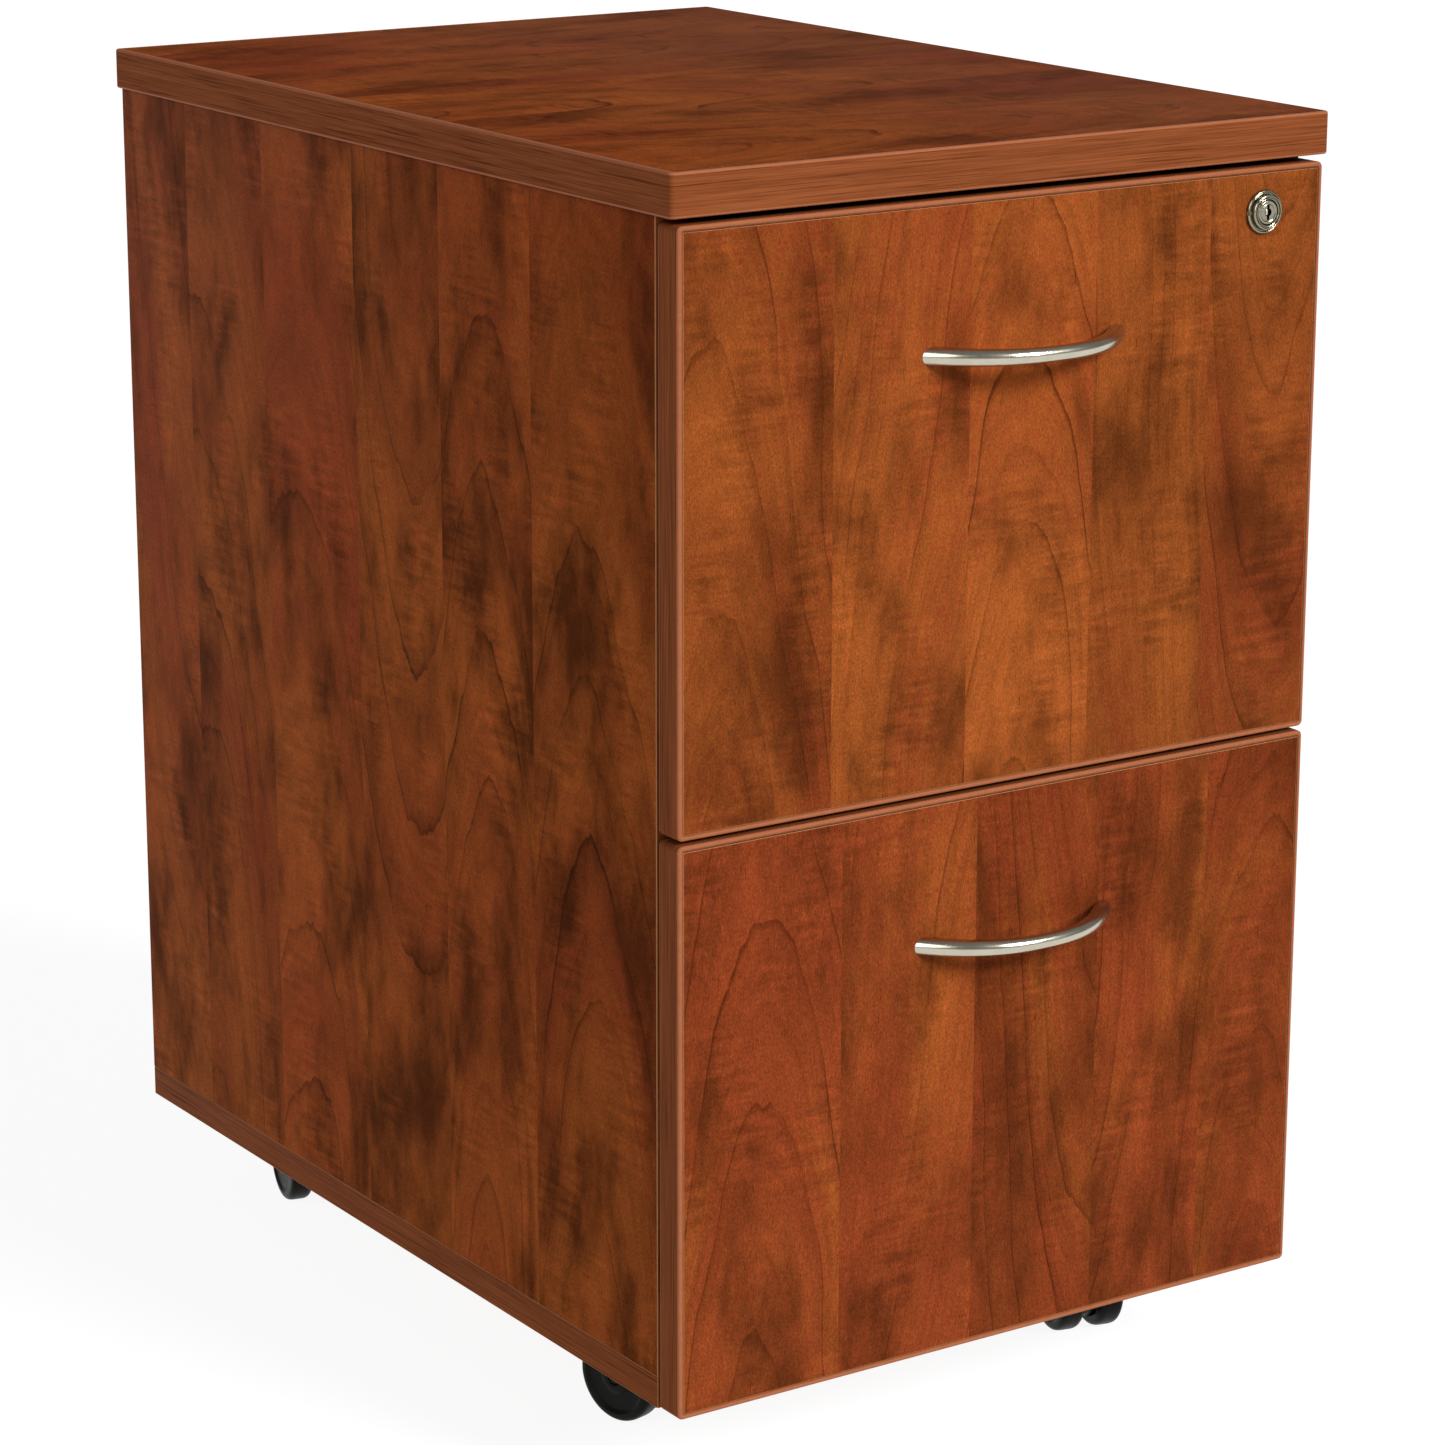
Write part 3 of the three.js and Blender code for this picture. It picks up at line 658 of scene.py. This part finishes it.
def extrude(bm, outline, axis, low, high, origin=(0, 0, 0)):
    """An outline of two coordinates, run along axis from low to high, all in millimetres."""
    first, second = [other for other in (X, Y, Z) if other != axis]
    caps = []
    for level in (low, high):
        row = []
        for a, b in outline:
            spot = [0.0, 0.0, 0.0]
            spot[first] = a
            spot[second] = b
            spot[axis] = level
            row.append(bm.verts.new(Vector(origin) + Vector(spot) * MM))
        caps.append(row)
    bottom, top = caps
    count = len(outline)
    for k in range(count):
        j = (k + 1) % count
        bm.faces.new((bottom[k], bottom[j], top[j], top[k]))
    bm.faces.new(list(reversed(bottom)))
    bm.faces.new(top)


def cut(piece, cutter):
    """Takes the cutter out of the piece and deletes it."""
    boolean = piece.modifiers.new("cut", "BOOLEAN")
    boolean.operation = "DIFFERENCE"
    boolean.solver = "EXACT"
    boolean.object = cutter
    bpy.context.view_layer.objects.active = piece
    bpy.ops.object.modifier_apply(modifier=boolean.name)
    bpy.data.objects.remove(cutter)
    for polygon in piece.data.polygons:
        polygon.use_smooth = True
    return piece


# ---------- panels and bands ----------


def build_panels(looks):
    board = {
        "top_panel": ("top", (CORE_GROWTH, CORE_GROWTH, 0)),
        "left_side_panel": ("side", (0, 0.13, 0.1)),
        "right_side_panel": ("side", (0, 0.13, 0.1)),
        "bottom_panel": ("bottom", (0.13, 0.13, 0)),
        "back_panel": ("back", (0.2, 0, 0.1)),
    }
    for node, (look, grow) in board.items():
        piece = from_cad(node, 0.25, grow)
        dress(piece, "cabinet", "carcass_laminate", [looks[look]], node)
    top = band_ring("top_edge_band_look", "top_edge_band", Z)
    dress(top, "cabinet", "edge_band", [looks["band_level"], looks["core"]], "top_edge_band")
    for node, look in (
        ("left_side_edge_band", "band_upright"),
        ("right_side_edge_band", "band_upright"),
        ("bottom_edge_band", "band_level"),
    ):
        piece = from_cad(node, 0.35)
        show_core(piece)
        dress(piece, "cabinet", "edge_band", [looks[look], looks["core_pale"]], node)


def show_core(piece):
    """A thin band's narrow faces and rounded edges show the pale plastic, its second material,
    which also paints a highlight along them.
    """
    piece.modifiers["edges"].material = 1
    for polygon in piece.data.polygons:
        spots = [piece.data.vertices[index].co for index in polygon.vertices]
        spans = []
        for axis in (X, Y, Z):
            places = [spot[axis] for spot in spots]
            spans.append(max(places) - min(places))
        # A face no wider than the band is thick is the band seen from its edge.
        if sorted(spans)[1] < THIN_BAND * MM:
            polygon.material_index = 1


def build_fronts(looks):
    for drawer in DRAWERS:
        node = f"{drawer}_drawer_front"
        piece = from_cad(node, 0.3, (CORE_GROWTH, 0, CORE_GROWTH))
        # The front's rounded edges take the pale band plastic: a painted highlight line round the
        # front.
        piece.modifiers["edges"].material = 1
        finishes = [looks[f"{drawer}_front"], looks["core_pale"]]
        dress(piece, f"{drawer}_drawer", "front_laminate", finishes, node)
        node = f"{drawer}_front_edge_band"
        band = band_ring(f"{node}_look", node, Y)
        dress(band, f"{drawer}_drawer", "edge_band", [looks["band_upright"], looks["core"]], node)


# ---------- drawer boxes and slides ----------


def build_boxes(looks):
    for drawer in DRAWERS:
        body = f"{drawer}_drawer"
        for part in ("left_side", "right_side", "bottom", "back"):
            node = f"{drawer}_drawer_{part}"
            piece = from_cad(node, 0.6)
            dress(piece, body, "box_melamine", [looks["melamine"]], node)
        for side, _ in SIDES:
            node = f"{drawer}_{side}_file_rail"
            dress(from_cad(node, 0.5), body, "rail_steel", [looks["rail"]], node)
            node = f"{drawer}_{side}_slide_inner"
            dress(from_cad(node, 0.45), body, "zinc_steel", [looks["zinc"]], node)
            node = f"{drawer}_{side}_slide_middle"
            piece = from_cad(node, 0.45)
            dress(piece, f"{drawer}_slide_middles", "zinc_steel", [looks["zinc"]], node)
            node = f"{drawer}_{side}_slide_outer"
            dress(from_cad(node, 0.45), "cabinet", "zinc_steel", [looks["zinc"]], node)


def build_small_steel(looks):
    strike = from_cad("lock_strike", 0.5)
    dress(strike, "cabinet", "zinc_steel", [looks["black_zinc"]], "lock_strike")
    cam = from_cad("lock_cam", 0.4)
    dress(cam, "lock_cylinder", "zinc_steel", [looks["zinc"]], "lock_cam")


# ---------- handles ----------


def build_handle(drawer, look):
    """A bow whose section swells towards its feet, which are cut flat to the front."""
    node = f"{drawer}_drawer_handle"
    lo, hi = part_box(node)
    centre = (lo + hi) / 2
    face_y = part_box(f"{drawer}_drawer_front")[0].y
    along = HANDLE_STEPS_ALONG
    around = HANDLE_STEPS_AROUND
    bm = bmesh.new()
    rows = []
    for step in range(along + 1):
        t = math.sin(math.pi / 2 * (2 * step / along - 1))
        away = abs(t)
        sign = math.copysign(1, t)
        fall = HANDLE_RISE * HANDLE_POWER * away ** (HANDLE_POWER - 1) / HANDLE_HALF_SPAN
        across = Vector((-sign * fall, 1)).normalized()
        flat = Vector((-sign, 0))
        turn = min(max((away - HANDLE_TURN_START) / (1 - HANDLE_TURN_START), 0), 1)
        turn = turn * turn * (3 - 2 * turn)
        section = across.lerp(flat, turn).normalized()
        stretch = 1 / section.dot(across)
        size = HANDLE_MID_RADIUS + (HANDLE_END_RADIUS - HANDLE_MID_RADIUS) * away**2
        rise = HANDLE_GAP + HANDLE_RISE * (1 - away**HANDLE_POWER)
        row = []
        for k in range(around):
            angle = 2 * math.pi * k / around
            offset = -math.sin(angle) * size * stretch
            x = t * HANDLE_HALF_SPAN + offset * section.x
            y = -rise + offset * section.y
            z = math.cos(angle) * size
            row.append(bm.verts.new((centre.x + x * MM, face_y + y * MM, centre.z + z * MM)))
        rows.append(row)
    for row, following in zip(rows, rows[1:]):
        for k in range(around):
            j = (k + 1) % around
            bm.faces.new((row[k], row[j], following[j], following[k]))
    bm.faces.new(rows[0])
    bm.faces.new(list(reversed(rows[-1])))
    piece = soften(make_piece(f"{node}_look", bm), 0.35, 2, 40)
    dress(piece, f"{drawer}_drawer", "handle_nickel", [look], node)


def pan_screw(name, centre, axis, radius, look, body, crown=PAN_CROWN):
    """A screw whose head stands on centre and points along axis, with a cross recess.

    The head is crown times its radius high.
    """
    bm = bmesh.new()
    height = radius * crown
    dome = [(0.0, height), (radius * 0.45, height * 0.96), (radius * 0.8, height * 0.72)]
    dome += [(radius * 0.98, height * 0.3), (radius, 0.0), (0.0, 0.0)]
    turned(bm, dome, centre, axis, 32)
    piece = make_piece(name, bm)
    direction = Vector(axis)
    across = direction.orthogonal().normalized()
    for turn in (0, math.pi / 2):
        slot = bmesh.new()
        bmesh.ops.create_cube(slot, size=1)
        side = across.copy()
        side.rotate(Matrix.Rotation(turn, 3, direction))
        other = direction.cross(side)
        for vertex in slot.verts:
            a, b, c = vertex.co
            reach = side * a * radius * RECESS_LENGTH + other * b * radius * RECESS_WIDTH
            lift = direction * (height * RECESS_LIFT + c * height * RECESS_DEPTH)
            vertex.co = Vector(centre) + (reach + lift) * MM
        cut(piece, make_piece("slot", slot))
    soften(piece, 0.06, 2)
    return dress(piece, body, "zinc_steel", [look])


def build_handle_screws(looks):
    """The two screws of each handle, on the back of its drawer front."""
    for drawer in DRAWERS:
        lo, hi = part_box(f"{drawer}_drawer_handle")
        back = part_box(f"{drawer}_drawer_front")[1].y
        middle = (lo + hi) / 2
        for side, sign in SIDES:
            spot = (middle.x + sign * HANDLE_HALF_SPAN * MM, back, middle.z)
            name = f"{drawer}_handle_{side}_screw"
            body = f"{drawer}_drawer"
            pan_screw(name, spot, (0, 1, 0), HANDLE_SCREW_RADIUS, looks["zinc"], body)


# ---------- lock ----------


def build_lock(looks):
    lo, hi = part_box("lock_housing")
    face_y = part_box("upper_drawer_front")[0].y
    centre = Vector(((lo.x + hi.x) / 2, face_y, (lo.z + hi.z) / 2))
    out = (0, -1, 0)
    length = (hi.y - face_y) / MM
    housing = [
        (6.6, -length),
        (9.5, -length),
        (9.5, 0.05),
        (11.1, 0.05),
        (11.1, 1.5),
        (10.6, 2.0),
        (10.2, 2.0),
        (10.0, 0.9),
        (9.2, 0.9),
        (9.1, 3.7),
        (8.6, 4.3),
        (8.1, 4.3),
        (7.9, 3.2),
        (7.4, 3.2),
        (7.2, 4.2),
        (6.8, 4.2),
        (6.6, 3.8),
    ]
    bm = bmesh.new()
    turned(bm, rounded_profile(housing, 0.35), centre, out, 96)
    piece = make_piece("lock_housing_look", bm)
    notch = bmesh.new()
    extrude(notch, [(-12.0, -1.1), (-9.4, -1.1), (-9.4, 1.1), (-12.0, 1.1)], Y, -6, -0.6, centre)
    cut(piece, make_piece("notch", notch))
    soften(piece, 0.1, 2, 50)
    dress(piece, "upper_drawer", "lock_nickel", [looks["polished"]], "lock_housing")

    plug_low = (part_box("lock_plug")[1].y - face_y) / MM
    plug = [
        (0.0, -plug_low),
        (3.5, -plug_low),
        (3.5, -length - 0.5),
        (6.3, -length - 0.5),
        (6.3, 3.4),
        (5.8, 4.0),
        (4.9, 4.0),
        (4.6, 3.7),
        (4.2, 3.7),
        (4.0, 4.0),
        (0.0, 4.0),
    ]
    bm = bmesh.new()
    turned(bm, rounded_profile(plug, 0.25), centre, out, 96)
    piece = make_piece("lock_plug_look", bm)
    hole = bmesh.new()
    slot = [(-0.8, -3.9), (0.8, -3.9), (0.8, -1.7)]
    slot += arc(0, 0, 2.2, -60, 60, 8)
    slot += [(0.8, 1.7), (0.8, 3.9), (-0.8, 3.9), (-0.8, 1.7)]
    slot += arc(0, 0, 2.2, 120, 240, 8)
    slot += [(-0.8, -1.7)]
    extrude(hole, slot, Y, -5, 7, centre)
    cut(piece, make_piece("keyhole", hole))
    soften(piece, 0.08, 2, 50)
    dress(piece, "lock_cylinder", "lock_nickel", [looks["polished"]], "lock_plug")
    # The first wafer, seen through the keyhole.
    wafer = bmesh.new()
    extrude(wafer, rounded_rectangle(0.72, 1.5, 0.5, 3), Y, -2.9, 6.8, centre)
    piece = soften(make_piece("lock_wafer", wafer), 0.15, 2)
    dress(piece, "lock_cylinder", "lock_nickel", [looks["satin"]])


# ---------- casters ----------


def caster_frame(place):
    """The caster's own frame in the cabinet: swivel axis on Z, floor at zero."""
    lo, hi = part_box(f"{place}_caster_plate")
    middle = (lo + hi) / 2
    turn = math.radians(CASTER_TURNS[place])
    return Matrix.Translation((middle.x, middle.y, 0)) @ Matrix.Rotation(turn, 4, "Z")


def put_down(piece, place):
    piece.data.transform(caster_frame(place))
    return piece


def rounded_rectangle(half_a, half_b, radius, steps=6):
    outline = []
    for index, (a, b) in enumerate(CORNERS):
        middle = (a * (half_a - radius), b * (half_b - radius))
        outline += arc(*middle, radius, 90 * index, 90 * index + 90, steps)
    return outline


def build_plate(place, looks):
    lo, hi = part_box(f"{place}_caster_plate")
    top = hi.z / MM
    bm = bmesh.new()
    under = top - PLATE_THICKNESS
    extrude(bm, rounded_rectangle(PLATE_HALF, PLATE_HALF, PLATE_CORNER), Z, under, top)
    race = [(0.0, under), (8.5, under), (7.0, top - 3.6), (0.0, top - 3.6)]
    turned(bm, race, (0, 0, 0), (0, 0, 1))
    kingpin = [(0.0, top - 2.0), (5.0, top - 2.0), (5.0, top - 8.6), (4.4, top - 9.0)]
    kingpin.append((0.0, top - 9.0))
    turned(bm, kingpin, (0, 0, 0), (0, 0, 1), 48)
    piece = soften(put_down(make_piece(f"{place}_caster_plate_look", bm), place), 0.4)
    dress(piece, "cabinet", "zinc_steel", [looks["zinc"]], f"{place}_caster_plate")
    for index, (a, b) in enumerate(CORNERS):
        spot = caster_frame(place) @ (Vector((a * PLATE_HOLE, b * PLATE_HOLE, under)) * MM)
        name = f"{place}_plate_screw_{index}"
        # A flat head, so that the hood turns clear of it.
        radius = PLATE_SCREW_RADIUS
        pan_screw(name, spot, (0, 0, -1), radius, looks["zinc"], "cabinet", FLAT_CROWN)


def build_hood(place, looks):
    """The hood: a crowned cover over both wheels, the web between them, swivel boss and axle."""
    axle = Vector((0, TRAIL * MM, AXLE_HEIGHT * MM))
    bm = bmesh.new()
    cover = []
    for step in range(17):
        share = step / 8 - 1
        cover.append((27.6 - 1.3 * abs(share) ** 5, 19.4 * share))
    for step in range(17):
        share = 1 - step / 8
        cover.append((25.9 - 0.35 * abs(share) ** 5, 19.1 * share))
    turned(bm, cover, axle, (1, 0, 0), 44, COVER_START, COVER_SPAN)
    web = [(18.4, -3.2), (26.4, -3.2), (26.4, 3.2), (18.4, 3.2)]
    turned(bm, web, axle, (1, 0, 0), 44, WEB_START, WEB_SPAN)
    disc = [(0.0, -3.4), (19.0, -3.4), (19.0, 3.4), (0.0, 3.4)]
    turned(bm, rounded_profile(disc, 0.6), axle, (1, 0, 0), 48)
    reach = WHEEL_INSIDE + AXLE_REACH
    rod = [(0.0, -reach), (AXLE_RADIUS, -reach), (AXLE_RADIUS, reach), (0.0, reach)]
    turned(bm, rounded_profile(rod, 0.6), axle, (1, 0, 0), 32)
    boss = [(5.6, 47.0), (9.4, 47.0), (10.5, 48.0), (10.5, 52.6), (5.6, 52.6)]
    turned(bm, boss, (0, 0, 0), (0, 0, 1), 48)
    neck = [(0.0, 38.6), (3.0, 38.6), (6.0, 41.0), (9.4, 47.0), (5.6, 47.4), (5.6, 46.5)]
    neck.append((0.0, 46.5))
    turned(bm, neck, (0, 0, 0), (0, 0, 1), 48)
    piece = soften(put_down(make_piece(f"{place}_caster_hood_look", bm), place), 0.45)
    dress(piece, f"{place}_swivel", "caster_nylon", [looks["nylon"]], f"{place}_caster_hood")


def build_wheel(place, side, sign, looks):
    """A twin wheel: rounded tread, recessed face with a raised ring, and a hub cap."""
    centre = Vector((sign * WHEEL_INSIDE * MM, TRAIL * MM, AXLE_HEIGHT * MM))
    profile = [
        (4.4, 2.0),
        (8.0, 2.0),
        (8.6, 6.0),
        (18.4, 6.0),
        (19.4, 0.3),
        (22.6, 0.3),
        (24.2, 1.2),
        (25.0, 3.2),
        (25.0, 10.2),
        (24.6, 12.2),
        (23.2, 13.5),
        (20.6, 13.8),
        (19.6, 13.2),
        (18.4, 12.6),
        (10.2, 12.2),
        (9.4, 13.4),
        (7.8, 13.9),
        (4.4, 14.0),
    ]
    bm = bmesh.new()
    turned(bm, rounded_profile(profile, 1.0, 3), centre, (sign, 0, 0), 72)
    cap = [(0.0, 11.2), (4.1, 11.2), (4.1, 13.4), (3.0, 14.0), (0.0, 14.2)]
    turned(bm, rounded_profile(cap, 0.4), centre, (sign, 0, 0), 32)
    node = f"{place}_caster_{side}_wheel"
    piece = soften(put_down(make_piece(f"{node}_look", bm), place), 0.2, 2, 50)
    dress(piece, f"{place}_{side}_wheel", "caster_nylon", [looks["nylon"]], node)


def build_casters(looks):
    for place in CASTERS:
        build_plate(place, looks)
        build_hood(place, looks)
        for side, sign in SIDES:
            build_wheel(place, side, sign, looks)


# ---------- stage ----------

CAMERA_PLACE = (-1.336, -2.021, 0.984)
CAMERA_YAW = 33.68
CAMERA_PITCH = 15.21
CAMERA_ROLL = 0.10
CAMERA_LENS = 113.0
CAMERA_SENSOR = 36.0
CAMERA_REACH = 200.0
FLOOR_HALF = 60.0
FLOOR_GREY = (0.12, 0.12, 0.12, 1.0)
FLOOR_GLOW = 0.91
WHITE = (1.0, 1.0, 1.0, 1.0)
ROOM_LIGHT = 0.2
# Each sun's direction, strength and apparent width in degrees.
SUNS = {"key": ((0.3, -0.8, 0.52), 5.1, 20), "fill": ((-0.82, -0.35, 0.45), 1.2, 40)}


def build_camera():
    camera = bpy.data.cameras.new("photo_camera")
    camera.lens = CAMERA_LENS
    camera.sensor_width = CAMERA_SENSOR
    camera.clip_end = CAMERA_REACH
    holder = bpy.data.objects.new("photo_camera", camera)
    bpy.context.scene.collection.objects.link(holder)
    holder.location = CAMERA_PLACE
    tilt = Matrix.Rotation(math.radians(90 - CAMERA_PITCH), 4, "X")
    roll = Matrix.Rotation(math.radians(CAMERA_ROLL), 4, "Z")
    yaw = Matrix.Rotation(math.radians(-CAMERA_YAW), 4, "Z")
    holder.rotation_euler = (yaw @ tilt @ roll).to_euler()
    bpy.context.scene.camera = holder


def build_sun(name, towards, strength, angle):
    """A soft distant light that stands in the direction towards."""
    light = bpy.data.lights.new(name, "SUN")
    light.energy = strength
    light.angle = math.radians(angle)
    holder = bpy.data.objects.new(name, light)
    bpy.context.scene.collection.objects.link(holder)
    holder.rotation_euler = Vector(towards).to_track_quat("Z", "Y").to_euler()


def build_floor():
    bm = bmesh.new()
    bmesh.ops.create_grid(bm, x_segments=4, y_segments=4, size=FLOOR_HALF)
    floor = make_piece("floor", bm)
    shader = Shader("floor_white")
    shader.set(Base_Color=FLOOR_GREY, Roughness=0.9, Specular_IOR_Level=0.0)
    shader.set(Emission_Color=WHITE, Emission_Strength=FLOOR_GLOW)
    floor.data.materials.append(shader.material)


def build_world():
    """White where the camera sees it, and a dimmer room light on the object."""
    world = bpy.data.worlds.new("studio")
    bpy.context.scene.world = world
    world.use_nodes = True
    tree = world.node_tree
    background = tree.nodes["Background"]
    background.inputs["Color"].default_value = WHITE
    path = tree.nodes.new("ShaderNodeLightPath")
    strength = tree.nodes.new("ShaderNodeMapRange")
    strength.inputs["To Min"].default_value = ROOM_LIGHT
    strength.inputs["To Max"].default_value = 1.0
    tree.links.new(path.outputs["Is Camera Ray"], strength.inputs["Value"])
    tree.links.new(strength.outputs[0], background.inputs["Strength"])


def build_stage():
    build_floor()
    build_world()
    for name, (towards, strength, angle) in SUNS.items():
        build_sun(name, towards, strength, angle)
    scene = bpy.context.scene
    scene.view_settings.view_transform = "Standard"
    scene.view_settings.look = "None"
    build_camera()


# ---------- all of it ----------

# Planks: where each starts, its tone, its rings' axis and their arches' centre (see cherry).
UPPER_PLANKS = (
    (0.0, 0.45, 0.04, -0.6),
    (0.22, 0.58, 0.6, -1.6),
    (0.43, 0.66, 0.53, -0.7),
    (0.63, 0.42, 0.34, -0.9),
    (0.82, 0.38, 0.95, 1.7),
)
LOWER_PLANKS = (
    (0.0, 0.57, 0.13, -0.7),
    (0.24, 0.56, 0.62, -1.5),
    (0.455, 0.4, 0.7, 1.6),
    (0.66, 0.52, 0.55, 1.9),
    (0.84, 0.42, 0.96, -0.6),
)
SIDE_PLANKS = (
    (0.0, 0.44, 0.1, -0.4),
    (0.2, 0.52, 0.3, -0.2),
    (0.36, 0.42, 0.42, 1.4),
    (0.52, 0.58, 0.66, -0.8),
    (0.7, 0.46, 0.86, -0.3),
    (0.86, 0.54, 0.8, 1.8),
)
TOP_PLANKS = (
    (0.0, 0.48, 0.1, -0.8),
    (0.18, 0.42, 0.3, 1.6),
    (0.36, 0.54, 0.4, -0.9),
    (0.55, 0.42, 0.72, -0.6),
    (0.74, 0.52, 0.8, 1.9),
)


# Each laminated face: its panel, the axes across and along the grain, planks, seed, and what
# differs from the usual redness, smoke, haze and gain.
LAMINATES = {
    "upper_front": ("upper_drawer_front", X, Z, UPPER_PLANKS, 3.1, {"red": 0.42}),
    "lower_front": ("lower_drawer_front", X, Z, LOWER_PLANKS, 41.3, {"red": 0.62}),
    # Painted light and shade: the side is a copy of the print painted lighter by its gain, and the
    # side and top are painted darker by their larger haze.
    "side": (
        "left_side_panel", Y, Z, SIDE_PLANKS, 17.9, {"smoky": 0.62, "haze": SIDE_HAZE, "gain": 1.15}
    ),
    "top": ("top_panel", Y, X, TOP_PLANKS, 71.7, {"smoky": 0.4, "haze": TOP_HAZE}),
    "back": ("back_panel", X, Z, LOWER_PLANKS, 93.2, {}),
    "bottom": ("bottom_panel", Y, X, TOP_PLANKS, 27.6, {}),
}
BAND_GRAIN_LEVEL = (60.0, 60.0, 0.7)
BAND_GRAIN_UPRIGHT = (60.0, 0.7, 60.0)
SATIN_BRUSH = (24.0, 0.25, 0.25)
POLISHED_BRUSH = (0.4, 6.0, 0.4)


def build_looks():
    looks = {}
    for face, (node, across, along, planks, seed, others) in LAMINATES.items():
        looks[face] = cherry(f"cherry_{face}", node, across, along, planks, seed, **others)
    looks["band_level"] = printed_band("band_print_level", BAND_GRAIN_LEVEL)
    looks["band_upright"] = printed_band("band_print_upright", BAND_GRAIN_UPRIGHT)
    # The band plastic, paler than the print: partly its own colour, partly a painted highlight on
    # the rounded arrises.
    looks["core"] = band_core("band_core", 184, 110, 74)
    looks["core_pale"] = band_core("band_core_pale", 200, 134, 84)
    looks["melamine"] = melamine("box_melamine_brown")
    looks["satin"] = nickel("satin_nickel", 196, 190, 172, 0.21, SATIN_BRUSH)
    looks["polished"] = nickel("polished_nickel", 150, 146, 128, 0.2, POLISHED_BRUSH)
    looks["zinc"] = zinc("zinc_plate")
    looks["black_zinc"] = zinc("black_zinc", 0.04)
    looks["rail"] = black_paint("black_powder_coat")
    looks["nylon"] = nylon("black_nylon")
    return looks


def build_all():
    looks = build_looks()
    build_panels(looks)
    build_fronts(looks)
    build_boxes(looks)
    build_small_steel(looks)
    for drawer in DRAWERS:
        build_handle(drawer, looks["satin"])
    build_handle_screws(looks)
    build_lock(looks)
    build_casters(looks)
    build_stage()


build_all()
